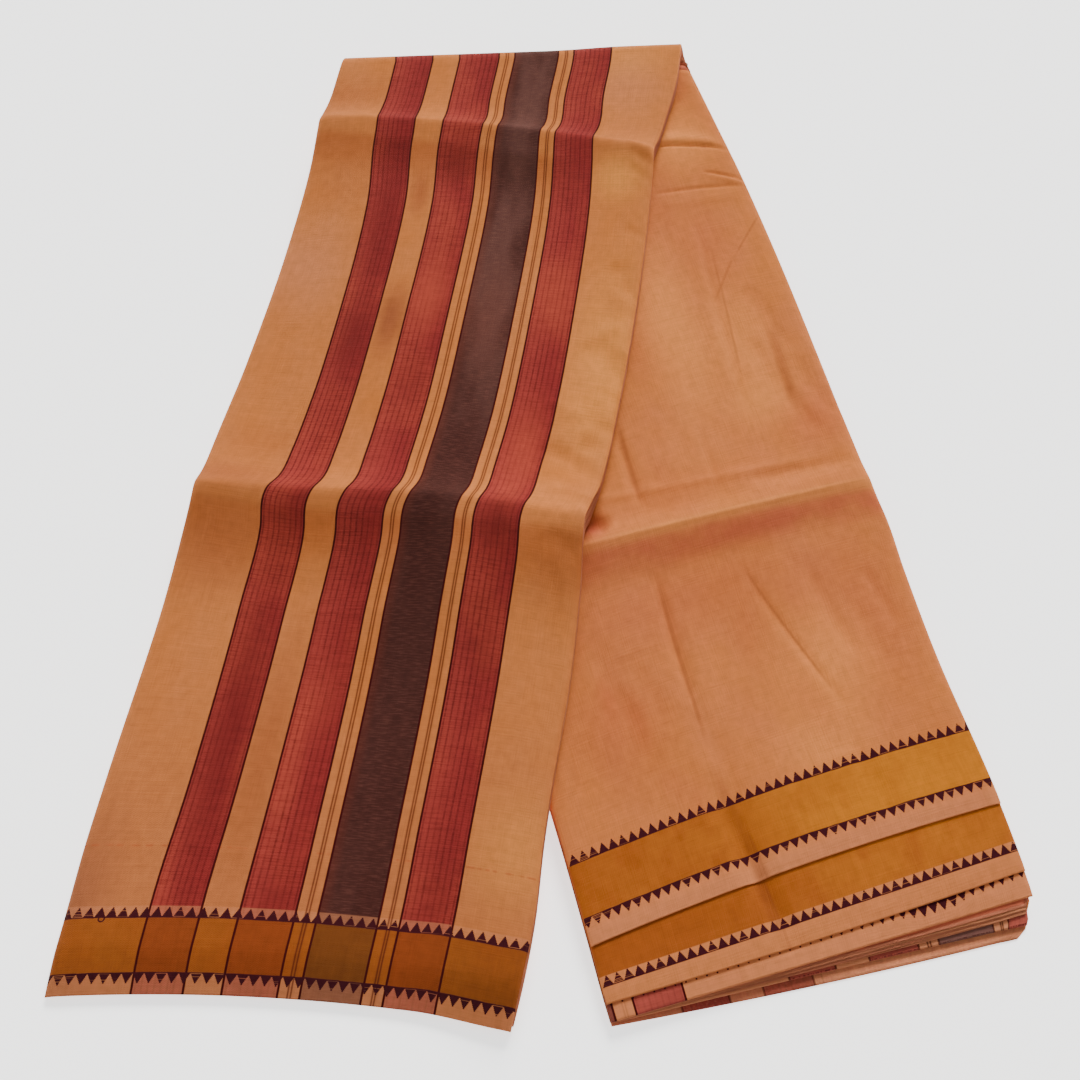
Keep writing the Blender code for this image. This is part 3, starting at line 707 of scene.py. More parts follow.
def hidden_stack():
    """Levels between the underside and one layer below the face, over the upper leg, round the
    fold and down the lower leg; in the fan they keep clear of the stretches on and under them."""
    u = HIDDEN_ACROSS
    rows = np.concatenate([[HIDDEN_SETBACK], crowd(0.006, UPPER.fold_along, 110, UPPER_TENTS)])
    x, y, face, underside = upper_surface(u, rows)
    room = face - LAYER - underside
    over = stacked([(x, y, underside + room * t) for t in HIDDEN_LEVELS])
    radii = FOLD_AIR + (FOLD_RADIUS - LAYER - FOLD_AIR) * HIDDEN_LEVELS
    turn = stacked([fold_surface(u, TURN[1::2], radius) for radius in radii])

    top = lower_along(u, LOWER.fold_along + np.array([0, -FACE_TOP]))
    body = lower_along(u, crowd(FACE_START - LEDGE, FAN_TOP + LEDGE, 90, (0.205,)))
    fan = fan_along(u, HIDDEN_HEM, np.array([1, 0.7, 0.4, 0.2, 0.1, 0]))
    along = np.concatenate([top, body, fan], axis=1)
    x, y, face = lower_surface(u, along)
    layers = np.ones((2, along.shape[1]))  # over it and under it
    layers[0, : top.shape[1]] = 0
    layers[:, -fan.shape[1] :] = [[3], [2]]
    floor = layers[1] * LAYER
    room = face - layers[0] * LAYER - floor
    under = stacked([(x, y, floor + room * t) for t in HIDDEN_LEVELS])
    points = np.concatenate([over, turn, under], axis=1)

    station = run_of(points)
    step = sideways(points)
    for side, edge in ((0, 0), (1, -1)):
        out = fold_out(HIDDEN_LEVELS[None, :], station[:, None], side)
        points[edge, :, :, :2] += (2 * side - 1) * step * out[:, :, None]
    for row, inner in ((0, 1), (-1, -2)):
        outward = points[:, row, :, :2] - points[:, inner, :, :2]
        outward = outward / np.linalg.norm(outward, axis=-1, keepdims=True)
        out = fold_out(HIDDEN_LEVELS[None, :], 0.3 * u, 2)
        if row == -1:
            out = out + between(HIDDEN_SPREAD, u) * (1 - HIDDEN_LEVELS)
        points[:, row, :, :2] += outward * out[:, :, None]
    level = np.broadcast_to(HIDDEN_LEVELS * FOLDS, points.shape[:3])
    run = np.broadcast_to(station[None, :, None], points.shape[:3]) + BAND * u[:, :, None]
    return block("hidden_folds", points, np.stack([level, run], axis=-1))


hidden = hidden_stack()

# %% [markdown]
# ## Colours of the cloth
#
# A handloom cotton is dyed in the yarn, so one lot of yarn ends and the next begins, and no
# colour is even. Each is given here as it looks on a screen and turned to the linear values that
# Blender mixes.

# %% Yarn colours
def yarn(red, green, blue):
    """A screen colour from 0 to 255 as linear light: the 2.4 power above a short straight foot."""
    share = np.array([red, green, blue]) / 255
    linear = np.where(share <= 0.04045, share / 12.92, ((share + 0.055) / 1.055) ** 2.4)
    return (*linear.tolist(), 1)


TAN = yarn(204, 123, 69)
TAN_GOLD = yarn(197, 114, 52)
# Painted shade: the tan that the ground darkens to towards the hem.
TAN_HEM_SHADE = yarn(179, 104, 62)
TAN_SHADE = yarn(161, 86, 46)
TAN_BRIGHT = yarn(231, 147, 69)
PEACH = yarn(208, 120, 69)
PEACH_GOLD = yarn(202, 117, 55)
PEACH_RED = yarn(186, 84, 60)
PEACH_PALE = yarn(214, 135, 94)
PEACH_BRIGHT = yarn(238, 147, 76)
ROSE = yarn(196, 102, 84)
RUST = yarn(180, 87, 48)
RED = yarn(139, 42, 41)
RED_LIGHT = yarn(157, 57, 50)
RED_FADED = yarn(184, 76, 56)
RED_DARK = yarn(108, 28, 28)
RED_DEEP = yarn(78, 12, 18)
BROWN = yarn(65, 31, 27)
BROWN_LIGHT = yarn(110, 62, 52)
BROWN_RUDDY = yarn(104, 46, 34)
BROWN_GREY = yarn(136, 92, 82)
OUTLINE = yarn(60, 3, 6)
MUSTARD = yarn(204, 120, 28)
MUSTARD_DEEP = yarn(168, 88, 22)
MUSTARD_BRIGHT = yarn(206, 125, 22)
MUSTARD_DARK = yarn(150, 72, 20)
MUSTARD_TAN = yarn(148, 79, 26)
TINT_RED = yarn(130, 54, 20)
TINT_BROWN = yarn(92, 52, 18)
PAIR = yarn(72, 20, 18)
MAROON = yarn(60, 12, 22)
# A painted highlight, for the lower tent's crest.
CREST_HIGHLIGHT = yarn(212, 136, 66)
# Painted shade below the tents, as a linear colour to multiply by.
PAINTED_TENT_SHADE = (0.66, 0.54, 0.49, 1)  # linear, to multiply a colour by beside a fold

# %% [markdown]
# ## Sums made of shader nodes
#
# A pattern of stripes needs some hundred nodes. They could be set one by one, but a Value here
# stands for a socket and is reckoned with like a number: each sum adds one Math node to the tree.
# What is the same all over the cloth stays a plain number on a node's own socket.

# %% Values and node helpers
class Value:
    """An output socket, and the tree that it is in."""

    def __init__(self, socket):
        self.socket, self.tree = socket, socket.id_data

    def __add__(self, other):
        return maths("ADD", self, other)

    def __sub__(self, other):
        return maths("SUBTRACT", self, other)

    def __rsub__(self, other):
        return maths("SUBTRACT", other, self)

    def __mul__(self, other):
        return maths("MULTIPLY", self, other)

    def __truediv__(self, other):
        return maths("DIVIDE", self, other)

    def __abs__(self):
        return maths("ABSOLUTE", self)


class Place(NamedTuple):
    """A place in the cloth, in metres, as a vector and as its two parts."""

    cloth: Value
    across: Value
    along: Value


def joined(socket, value):
    """Links a value to a socket, or sets a plain number or colour on it."""
    if isinstance(value, Value):
        value.tree.links.new(value.socket, socket)
    else:
        socket.default_value = value


def node(kind, inputs, **settings):
    """A new node in the tree of its inputs: its settings made, then its inputs joined."""
    tree = next(value.tree for value in inputs.values() if isinstance(value, Value))
    new = tree.nodes.new("ShaderNode" + kind)
    for label, value in settings.items():
        setattr(new, label, value)
    for label, value in inputs.items():
        joined(new.inputs[label], value)
    return new


def made(kind, inputs, output=0, **settings):
    """One output of a new node."""
    return Value(node(kind, inputs, **settings).outputs[output])


def maths(operation, *values):
    """One Math node, its inputs joined in order."""
    return made("Math", dict(enumerate(values)), operation=operation)


def largest(first, *others):
    """The largest of some values, each met by one Maximum."""
    for other in others:
        first = maths("MAXIMUM", first, other)
    return first


def step(value, start, end):
    """0 up to start, 1 from end on, smooth between: a Map Range node."""
    ends = {"Value": value, "From Min": start, "From Max": end}
    return made("MapRange", ends, interpolation_type="SMOOTHSTEP")


def close_to(value, middle, core, rim):
    """1 within core of a middle, and 0 from rim out."""
    return 1 - step(abs(value - middle), core, rim)


def mixed(share, first, second, blend="MIX"):
    """One colour over another, by a share."""
    return made("Mix", {0: share, 6: first, 7: second}, 2, data_type="RGBA", blend_type=blend)


def stretched(vector, scale, detail=2, turn=0):
    """Noise on a scaled vector, so its flecks are long one way: a Mapping and a Noise node."""
    turned = {"Vector": vector, "Scale": (*scale, 1), "Rotation": (0, 0, turn)}
    return made("TexNoise", {"Vector": made("Mapping", turned), "Scale": 1, "Detail": detail})


def split(cloth):
    """The way across the cloth and the way along it."""
    parts = node("SeparateXYZ", {0: cloth}).outputs
    return Value(parts[0]), Value(parts[1])


def group(name, inputs, outputs, work):
    """A node group with named sockets. work is given its inputs and hands back its outputs, in
    order. An input starts at None if it is a vector, and Colour is the one colour put out."""
    tree = bpy.data.node_groups.new(name, "ShaderNodeTree")
    for label, start in inputs.items():
        kind = "Vector" if start is None else "Color" if isinstance(start, tuple) else "Float"
        socket = tree.interface.new_socket(label, in_out="INPUT", socket_type="NodeSocket" + kind)
        if start is not None:
            socket.default_value = start
    for label in outputs:
        kind = "Color" if label == "Colour" else "Float"
        tree.interface.new_socket(label, in_out="OUTPUT", socket_type="NodeSocket" + kind)
    given = tree.nodes.new("NodeGroupInput")
    results = work(*[Value(given.outputs[label]) for label in inputs])
    results = (results,) if isinstance(results, Value) else results
    for socket, value in zip(tree.nodes.new("NodeGroupOutput").inputs, results):
        joined(socket, value)
    print(f"{name}: {len(tree.nodes)} nodes")
    return tree


def placed(made_group, *values):
    """A node group put to work on values, in the order of its inputs: its output or outputs."""
    new = node("Group", dict(enumerate(values)), node_tree=made_group)
    results = [Value(socket) for socket in new.outputs]
    return results if len(results) > 1 else results[0]


# %% [markdown]
# ## The weave
#
# Plain weave is one thread over, one thread under, both ways: two waves multiplied give its
# bumps. Long thin noise along each way gives uneven threads and slubs, and a rounder one the
# small blotches of the dye. A picture of cloth could be tiled instead, but a tile repeats and
# blurs close by.

# %% Handloom weave group
WAVES = 8800  # half a turn of the wave for each thread, at 28 threads to the centimetre


def handloom_weave(cloth, unevenness):
    """Height is sine across times sine along plus the thread noise. Shade is 1 plus a little of
    each noise."""
    across, along = split(cloth)
    checker = maths("SINE", across * WAVES) * maths("SINE", along * WAVES)
    threads = stretched(cloth, (1500, 26), 3) + stretched(cloth, (22, 1300), 3)
    slub = step(stretched(cloth, (120, 900), 1), 0.6, 0.8) * -0.1
    blotch = stretched(cloth, (210, 170), 3) * 0.36 - 0.18
    change = threads * 0.24 - 0.24 + blotch + slub
    return checker * 0.5 + threads * 0.9, change * unevenness + 1


weave = group(
    "Handloom weave", {"Cloth": None, "Unevenness": 1}, ("Height", "Shade"), handloom_weave
)

# %% [markdown]
# ## Temple triangles
#
# The border's small triangles are woven with an extra dark weft, which is carried over one thread
# fewer at each pick, so a triangle has steps for sides and ends in a spire. The group folds the
# way across into one triangle's width, and compares it with the half width that is left at that
# height, rounded down to whole picks. Some picks are paler.

# %% Temple row group
PICKS = 7


def temple_row(across, rise, pitch, height):
    """Mask is 1 where the distance from a triangle's middle is less than its half width, which
    falls in whole picks from its base to its spire."""
    count = across / pitch
    away = abs(maths("FRACT", count) - 0.5) * 2
    share = rise / height
    pick = maths("FLOOR", share * PICKS) / PICKS
    left = largest(pick * -0.98 + 1, 0.13)
    body = maths("LESS_THAN", away - left, 0)
    pair = made("CombineXYZ", {0: maths("FLOOR", count), 1: pick})
    lots = made("TexWhiteNoise", {"Vector": pair}, noise_dimensions="2D")
    thin = step(maths("FRACT", share * PICKS), 0.4, 0.8) * step(lots, 0.84, 0.98) * 0.7
    foot = step(share, -0.06, 0.02)
    top = 1 - step(share, 0.97, 1.06)
    return foot * top * body * (1 - thin)


TEMPLE = {"Across": 0, "Rise": 0, "Pitch": 0.0055, "Height": 0.0055}
temple = group("Temple row", TEMPLE, ("Mask",), temple_row)

# %% [markdown]
# ## The border
#
# One border crosses each end of the cloth: a band of mustard with a row of triangles on either
# side. Every stretch that shows a border uses this group with its own lines. It puts out masks
# only, so each cloth keeps its colours.

# %% Border group
SOFT = 0.0002  # half the width over which a woven line fades
DRIFT = 0.0009
HANGING, HANGING_SHIFT = 0.0048, 0.0019  # height of the lower row, and how far it is shifted


def woven_border(across, along, low_line, high_line, pitch):
    """Mustard is 1 between two lines. Triangles stand on the upper line and hang from the lower."""
    drift = made("TexNoise", {"W": across, "Scale": 45}, noise_dimensions="1D")
    along = drift * DRIFT + along - DRIFT / 2
    over = along - high_line
    under = low_line - along
    up = placed(temple, across, over, pitch, TRIANGLE)
    down = placed(temple, across + HANGING_SHIFT, under, pitch, HANGING)
    return (1 - step(over, -SOFT, SOFT)) * (1 - step(under, -SOFT, SOFT)), largest(up, down)


BORDER = {"Across": 0, "Along": 0, "Low line": 0.0098, "High line": 0.0362, "Pitch": 0.0055}
border = group("Woven border", BORDER, ("Mustard", "Triangles"), woven_border)

# %% [markdown]
# ## One stripe
#
# Three red stripes and a brown one run the length of the pallu, each with a dark thread along
# both its edges, so one group does any of them. The reds share more: an orange lot of yarn at the
# left and a deeper one to the right, faded places, eight ruled pinstripes, and picks that show as
# fine dashes across.

# %% Stripe groups
def warp_stripe(across, start, end, thread):
    """Inside is 1 between two lines; Outline is 1 within half a thread of either."""
    nearest = maths("MINIMUM", across - start, end - across)
    half = thread * 0.5
    return step(nearest, -SOFT, SOFT), 1 - step(abs(nearest), half - SOFT, half + SOFT)


STRIPE = {"Across": 0, "From": 0, "To": 0, "Thread": 0.00115}
stripe = group("Warp stripe", STRIPE, ("Inside", "Outline"), warp_stripe)


def red_stripe(cloth, under, start, end):
    """Red over what is under it, from its left line to its right one, and its two masks."""
    across = split(cloth)[0]
    inside, outline = placed(stripe, across, start, end)
    share = (across - start) / (end - start)
    colour = mixed(step(share, 0, 0.85), RED_LIGHT, RED)
    faded = step(stretched(cloth, (26, 13)), 0.42, 0.66)
    colour = mixed(faded * 0.42, colour, RED_FADED)
    picks = step(stretched(cloth, (60, 1300)), 0.46, 0.66)
    colour = mixed(picks * 0.4, colour, RED_DARK)
    pinstripe = close_to(maths("FRACT", share * 8), 0.5, 0.03, 0.26)
    dash = step(stretched(cloth, (240, 620)), 0.36, 0.6) * 0.45 + 0.55
    long_change = step(stretched(cloth, (300, 14), 1), 0.34, 0.62) * 0.5 + 0.5
    colour = mixed(pinstripe * dash * long_change * 0.62, colour, RED_DEEP)
    return mixed(inside, under, colour), inside, outline


RED_INPUTS = {"Cloth": None, "Under": TAN, "From": 0, "To": 0}
red = group("Red stripe", RED_INPUTS, ("Colour", "Inside", "Outline"), red_stripe)

# %% [markdown]
# ## All the stripes of the pallu
#
# The warp is set out once: red, red, brown, red, with pairs of thin dark threads on both sides of
# the brown. Every stretch that shows stripes uses this group, so they always come in the same
# order and widths.

# %% Pallu stripes group
RED_STRIPES = ((0.187, 0.296), (0.376, 0.493), (0.7225, 0.837))  # as shares of the band
BROWN_STRIPE = (0.5415, 0.6745)
THIN_THREADS = (0.515, 0.5218, 0.6972, 0.703)
PAIR_MIDDLES = (sum(THIN_THREADS[:2]) / 2, sum(THIN_THREADS[2:]) / 2)


def pallu_stripes(cloth, under):
    """Colour is the stripes over what is under them. Reds, Brown, Edges and Pairs are masks."""
    across, along = split(cloth)
    colour = under
    start, end = BROWN_STRIPE[0] * BAND, BROWN_STRIPE[1] * BAND
    brown, edges = placed(stripe, across, start, end)
    masks = []
    for red_start, red_end in RED_STRIPES:
        colour, inside, outline = placed(red, cloth, colour, red_start * BAND, red_end * BAND)
        masks.append(inside)
        edges = largest(edges, outline)
    picks = step(stretched(cloth, (180, 1300)), 0.42, 0.72)
    dusk = mixed(picks * 0.4, BROWN, BROWN_LIGHT)
    greyed = step(stretched(cloth, (40, 12)), 0.36, 0.62)
    dusk = mixed(greyed * (step(along, 0.24, 0.44) * 0.24 + 0.04), dusk, BROWN_GREY)
    ruddy = 1 - step(across, start, start + 0.007)
    dusk = mixed(ruddy * 0.4, dusk, BROWN_RUDDY)
    colour = mixed(brown, colour, dusk)
    pairs = [close_to(across, middle * BAND, 0.0002, 0.0007) for middle in THIN_THREADS]
    pairs += [close_to(across, middle * BAND, 0.0008, 0.0022) * 0.22 for middle in PAIR_MIDDLES]
    return colour, largest(*masks), brown, edges, largest(*pairs)


MASKS = ("Reds", "Brown", "Edges", "Pairs")
stripes = group("Pallu stripes", {"Cloth": None, "Under": TAN}, ("Colour", *MASKS), pallu_stripes)

# %% [markdown]
# ## Cotton that has lain folded
#
# The dye took a little deeper here and there. Two sizes of soft noise give the dye, and soft ovals
# the places that differ: some of them dye, others painted shade and painted light on the folds.
# Painted shade darkens the cloth below each tent and runs in thin lines along the pinches, and a
# painted highlight lies on the lower tent's crest.

# %% Soft tone groups
def soft_tone(cloth, contrast):
    """Two slow noises over the cloth's place, mixed to a mask around one half."""
    both = stretched(cloth, (60, 42), 3) * 0.35 + stretched(cloth, (16, 9)) * 0.65
    return (both - 0.5) * contrast * 2.4 + 0.5


tone = group("Soft tone", {"Cloth": None, "Contrast": 1}, ("Mask",), soft_tone)


def soft_place(across, along, middle_across, middle_along, reach_across, reach_along):
    """1 in the middle of an oval and 0 from its rim out: the smooth step of the distance, each way
    divided by its own reach."""
    p = (across - middle_across) / reach_across
    q = (along - middle_along) / reach_along
    return 1 - step(maths("SQRT", p * p + q * q), 0, 1)


OVAL = {"Across": 0, "Along": 0, "Middle across": 0, "Middle along": 0}
OVAL |= {"Reach across": 0.05, "Reach along": 0.05}
oval = group("Soft place", OVAL, ("Mask",), soft_place)


def toned(at, colour, tones):
    """Other colours laid over a colour in soft ovals, each by its own share."""
    for other, places in tones:
        for *where, share in places:
            near = placed(oval, at.across, at.along, *[size / 1000 for size in where])
            colour = mixed(near * share, colour, other)
    return colour


def painted_crease_shade(at, lines):
    """Painted crease shade along each line: 1 on it, 0 at its half width, fading over its outer
    half.
    """
    shares = []
    for *sizes, share in lines:
        across_0, along_0, across_1, along_1, half_width = [size / 1000 for size in sizes]
        reach = 0.5 * float(np.hypot(across_1 - across_0, along_1 - along_0))
        way = ((across_1 - across_0) / (2 * reach), (along_1 - along_0) / (2 * reach))
        beside = at.across - 0.5 * (across_0 + across_1)
        past = at.along - 0.5 * (along_0 + along_1)
        off = beside * way[1] - past * way[0]
        on = beside * way[0] + past * way[1]
        thin = 1 - step(abs(off), 0, half_width)
        shares.append(thin * (1 - step(abs(on), 0.5 * reach, reach)) * share)
    return largest(*shares)


# %% [markdown]
# ## Finishing a cotton
#
# Cotton scatters light softly, with a faint bright edge where its fibres stand up. So each cotton
# is a Principled BSDF with high roughness and a little Sheen, its weave as a Bump, and its shade
# multiplied into the colour.

# %% Cotton material
COTTON = {
    "Roughness": 0.86,
    "Specular IOR Level": 0.1,
    "Sheen Weight": 0.04,
    "Sheen Roughness": 0.45,
    "Sheen Tint": (1, 0.55, 0.25, 1),
}
THREAD_HEIGHT = 0.00022


def cotton(name, colours):
    """A material with its own Principled BSDF. colours is given the place in the cloth and hands
    back the colour before the weave's shade."""
    material = bpy.data.materials.new(name)
    material.use_nodes = True
    tree = material.node_tree
    shader = tree.nodes["Principled BSDF"].inputs
    place_in = tree.nodes.new("ShaderNodeUVMap")
    place_in.uv_map = "cloth"
    cloth = Value(place_in.outputs["UV"])
    colour = colours(Place(cloth, *split(cloth)))
    height, shade = placed(weave, cloth, 1)
    grey = made("CombineXYZ", {0: shade, 1: shade, 2: shade})
    joined(shader["Base Color"], mixed(1, colour, grey, "MULTIPLY"))
    bump = {"Strength": 1, "Distance": THREAD_HEIGHT, "Height": height}
    joined(shader["Normal"], made("Bump", bump))
    for label, value in COTTON.items():
        shader[label].default_value = value
    print(f"{name}: {len(tree.nodes)} nodes of its own")
    return material


# %% [markdown]
# ## The pallu's colours
#
# Over a warm tan ground go the stripes, then the border. Beside both rows of triangles the ground
# shows more through the stripes, because the dark extra weft draws the warp apart there. Where
# the mustard weft crosses a stripe it takes the stripe's tint, while the dark edge threads run on
# to the hem. The cloth's low end, which peeps out under the other leg, is worn and its stripes are
# faded, and it is painted paler still, as painted light on a strip that the other leg shades.
# Painted shade darkens the ground towards the hem and the cloth below both tents.

# %% Striped cotton
PALE_TO = 0.0425  # how far up from the hem the stripes are paler
OLD_FOLD = 0.073  # where an old fold left a faint line
LOOP = (0.0203, 0.0357)  # across and along of a loose loop of the dark weft
LOOP_RADIUS = 0.0014
LOW_END = STRIPED_LENGTH - 0.011  # past here the cloth shows at the foot of the other leg
# Where the painted shade below each tent lies.
PAINTED_TENT_SHADE_BANDS = ((0.257, 0, 0.7), (0.555, -0.18, 0.75))  # along at the left, slant and share

# Each row: millimetres across and along, the reach both ways, and the share.
# Most TAN_SHADE ovals are painted shade, on slopes that face away from the lamp and in troughs by
# the tents, and the TAN_BRIGHT ovals are painted light where the cloth faces the lamp; the other
# ovals make the tone uneven.
TAN_DYE_SHADE_AND_LIGHT = (
    (TAN_SHADE, (
        (20, 235, 60, 36, 0.6), (215, 240, 40, 30, 0.3), (10, 284, 75, 20, 0.7),
        (10, 600, 80, 32, 0.45), (30, 312, 70, 28, 0.3), (76.6, 510, 12, 30, 0.75),
        (76.6, 130, 22, 120, 0.7), (30, 520, 60, 40, 0.3), (205, 545, 40, 30, 0.25),
        (76.6, 408, 16, 44, 0.85), (190, 330, 30, 26, 0.25), (216, 430, 13, 16, 0.55),
        (217, 337, 11, 13, 0.45), (215, 302, 13, 12, 0.45),
    )),
    (TAN_BRIGHT, (
        (215, 385, 40, 110, 0.6), (215, 85, 40, 50, 0.45), (205, 625, 50, 30, 0.4),
        (208, 520, 28, 26, 0.8),
    )),
    (TAN_GOLD, (
        (200, 312, 40, 24, 0.85), (205, 20, 40, 50, 0.35),
    )),
    (PEACH_PALE, (
        (12, 450, 45, 60, 0.45), (205, 600, 40, 40, 0.3),
    )),
    (BROWN_LIGHT, (
        (3, 45, 30, 70, 0.4), (76.6, 408, 14, 35, 0.2),
    )),
)
RED_TONES = (
    (RED_DARK, (
        (55, 150, 20, 140, 0.7), (55, 395, 20, 45, 0.65), (178, 268, 20, 30, 0.7),
        (55, 490, 20, 90, 0.55), (99, 30, 20, 50, 0.45), (99, 365, 20, 35, 0.35),
        (99, 535, 20, 35, 0.45), (178, 50, 20, 60, 0.35), (178, 200, 20, 50, 0.35),
    )),
    (RED_FADED, (
        (99, 160, 20, 40, 0.2), (99, 430, 20, 45, 0.6), (178, 430, 20, 45, 0.35),
        (178, 320, 20, 60, 0.45),
    )),
)
BROWN_TONES = ((BROWN_LIGHT, ((137, 415, 30, 60, 0.45),)),)


def painted_tent_shade_mask(at):
    """Painted shade in the cloth below the two tents: a band whose middle is a line across the
    cloth, soft towards the hem and firmer towards the crest. The far one ends before the right
    edge."""
    bands = []
    for middle, slant, share in PAINTED_TENT_SHADE_BANDS:
        past = at.along - (at.across * slant + middle)
        bands.append(step(past, -0.03, 0.002) * (1 - step(past, 0.006, 0.016)) * share)
    near, far = bands
    return largest(near, far * (1 - step(at.across, 0.15, 0.2)))


def striped_colours(at):
    """In turn: ground, stripes, paler zone, tinted mustard, edge threads, triangles, painted tent
    shade.
    """
    cloth, across, along = at
    mottle = placed(tone, cloth, 1)
    ground = mixed(mottle, TAN, TAN_GOLD)
    # Painted shade: the tan grows darker towards the hem.
    near_hem = 1 - step(along, 0.02, 0.24)
    ground = mixed(near_hem * 0.7, ground, TAN_HEM_SHADE)
    # Ovals of uneven tone, and of painted shade and painted light.
    ground = toned(at, ground, TAN_DYE_SHADE_AND_LIGHT)
    broken = step(stretched(cloth, (260, 40), 1), 0.4, 0.6)
    ground = mixed(close_to(along, OLD_FOLD, 0.0002, 0.0009) * broken * 0.6, ground, RUST)
    # The low end: worn and faded, and painted paler still as painted light on a strip in the other
    # leg's shade.
    at_end = step(along, LOW_END - 0.001, LOW_END + 0.001)
    under = mixed(at_end, ground, PEACH_PALE)
    colour, reds, brown, edges, pairs = placed(stripes, cloth, under)
    colour = mixed(reds, colour, toned(at, colour, RED_TONES))
    colour = mixed(brown, colour, toned(at, colour, BROWN_TONES))
    pale = 1 - step(along, PALE_TO - 0.0006, PALE_TO)
    colour = mixed(pale * (largest(reds, brown) * 0.06 + 0.3), colour, PEACH_PALE)
    worn_and_painted_light = largest(at_end * 0.35, at_end * step(across, 0.116, 0.118))
    colour = mixed(worn_and_painted_light, colour, mixed(step(across, 0.06, 0.13), ROSE, PEACH_PALE))
    frayed = step(stretched(cloth, (700, 500)), 0.45, 0.65)
    colour = mixed(frayed * at_end * 0.35, colour, ROSE)
    mustard, triangles = placed(border, across, along)
    tinted = mixed(mottle, MUSTARD_TAN, MUSTARD_DARK)
    tinted = mixed(step(across, 0.175, 0.205) * 0.25, tinted, TINT_BROWN)
    tinted = mixed(reds * 0.7, tinted, TINT_RED)
    tinted = mixed(brown * 0.7, tinted, TINT_BROWN)
    colour = mixed(mustard * 0.96, colour, tinted)
    whole = 1 - worn_and_painted_light
    colour = mixed(pairs * whole * 0.72, colour, PAIR)
    colour = mixed(edges * whole, colour, OUTLINE)
    beside, above = across - LOOP[0], along - LOOP[1]
    far = maths("SQRT", above * above + beside * beside)
    ring = close_to(far, LOOP_RADIUS, 0.0002, 0.0005)
    colour = mixed(largest(triangles, ring), colour, MAROON)
    # Painted shade below both tents, multiplied into the colour.
    return mixed(painted_tent_shade_mask(at), colour, PAINTED_TENT_SHADE, "MULTIPLY")


striped_cotton = cotton("striped_cotton", striped_colours)

# %% [markdown]
# ## The plain cloth's colours
#
# The plain length is the same cotton without stripes, dipped a little rosier, with warmer clouds
# where the dye settled, and the border with the lines where each stretch shows them. Below the
# tent's crest it has a band of painted shade, on the crest a painted highlight, and painted shade
# in the pocket and along the creases.

# %% Plain cotton
FAN_PITCH = 0.0056  # of the triangles in the fan
# A line just below the lower tent's crest: a band of painted shade lies about it, and a painted
# highlight on the crest above it.
LOWER_TENT_SHADE_LINE = (0.1965, -0.048)  # up from the hem at the left edge, and per metre across: an old fold
# The first two ovals are painted shade, in and below the pocket where the upper leg crosses the
# tent; the others make the tone uneven.
PEACH_DYE_AND_POCKET_SHADE = (
    (PEACH_RED, (
        (64, 219, 16, 16, 0.9), (63, 195, 30, 16, 0.4), (110, 160, 120, 45, 0.3),
        (50, 110, 50, 40, 0.25), (200, 120, 45, 80, 0.28), (215, 250, 40, 40, 0.35),
        (190, 395, 30, 50, 0.25), (205, 525, 25, 20, 0.3),
    )),
    (PEACH_BRIGHT, (
        (148, 335, 32, 110, 0.7), (185, 310, 34, 60, 0.5), (195, 480, 40, 40, 0.75),
        (185, 270, 35, 28, 0.5), (165, 100, 50, 50, 0.5), (150, 55, 45, 35, 0.5),
    )),
    (RUST, (
        (46, 120, 7, 20, 0.35), (58, 100, 8, 24, 0.35), (50, 85, 45, 40, 0.25),
        (130, 225, 90, 18, 0.2),
    )),
)
# Painted shade along thin creases of the lower leg.
CREASE_SHADE_LINES = (  # two ends, each across and along, then the half width and the share
    (229, 407, 201, 375, 1.3, 0.5), (202, 378, 179, 345, 1.6, 0.4),
    (191.5, 399, 178.5, 283, 1.4, 0.4), (100, 284, 97.5, 218, 2.6, 0.55),
    (207.5, 326, 203, 256, 5.5, 0.5), (92.3, 184, 89.3, 70, 1.9, 0.6),
    (138.5, 173, 166.5, 80, 1.4, 0.55),
)
# Painted shade along creases across the fan's hems.
FAN_CREASE_SHADE_LINES = ((88, 70, 96.5, -18, 5, 0.24), (93.5, 36, 98.5, -20, 2, 0.28))


def plain_ground(at):
    """Peach with warm clouds, ovals of dye and of painted shade, a band of painted shade below the
    lower tent's crest with a painted highlight on the crest, painted shade along the creases, and
    paler towards its hem. Then the mustard of its weft, mottled too, and deeper towards the left
    edge."""
    cloth, across, along = at
    mottle = placed(tone, cloth, 1.15)
    ground = mixed(mottle, PEACH, PEACH_GOLD)
    warm = step(stretched(cloth, (17, 8), 3, 0.3), 0.5, 0.74)
    ground = mixed(warm * 0.4, ground, RUST)
    past = along - (across * LOWER_TENT_SHADE_LINE[1] + LOWER_TENT_SHADE_LINE[0])
    blotch = step(stretched(cloth, (24, 40), 3), 0.2, 0.7)
    # A band of painted shade below the lower tent's crest.
    ground = mixed((1 - step(abs(past), 0, 0.016)) * blotch * 0.75, ground, PEACH_RED)
    # A painted highlight along the crest.
    ground = mixed(close_to(past, 0.01, 0.001, 0.006) * 0.4, ground, CREST_HIGHLIGHT)
    # Ovals of uneven tone, and painted shade in the pocket by the upper leg.
    ground = toned(at, ground, PEACH_DYE_AND_POCKET_SHADE)
    # Painted shade along the creases.
    ground = mixed(painted_crease_shade(at, CREASE_SHADE_LINES), ground, TAN_SHADE)
    near_hem = 1 - step(along, 0.004, 0.018)
    golden = mixed(mottle, MUSTARD, MUSTARD_DEEP)
    cloud = step(stretched(cloth, (70, 46), 3), 0.45, 0.75)
    golden = mixed(cloud * 0.55, golden, MUSTARD_DARK)
    left = 1 - step(across, 0, 0.2)
    return mixed(near_hem * 0.5, ground, PEACH_PALE), mixed(left * 0.7, golden, MUSTARD_DARK)


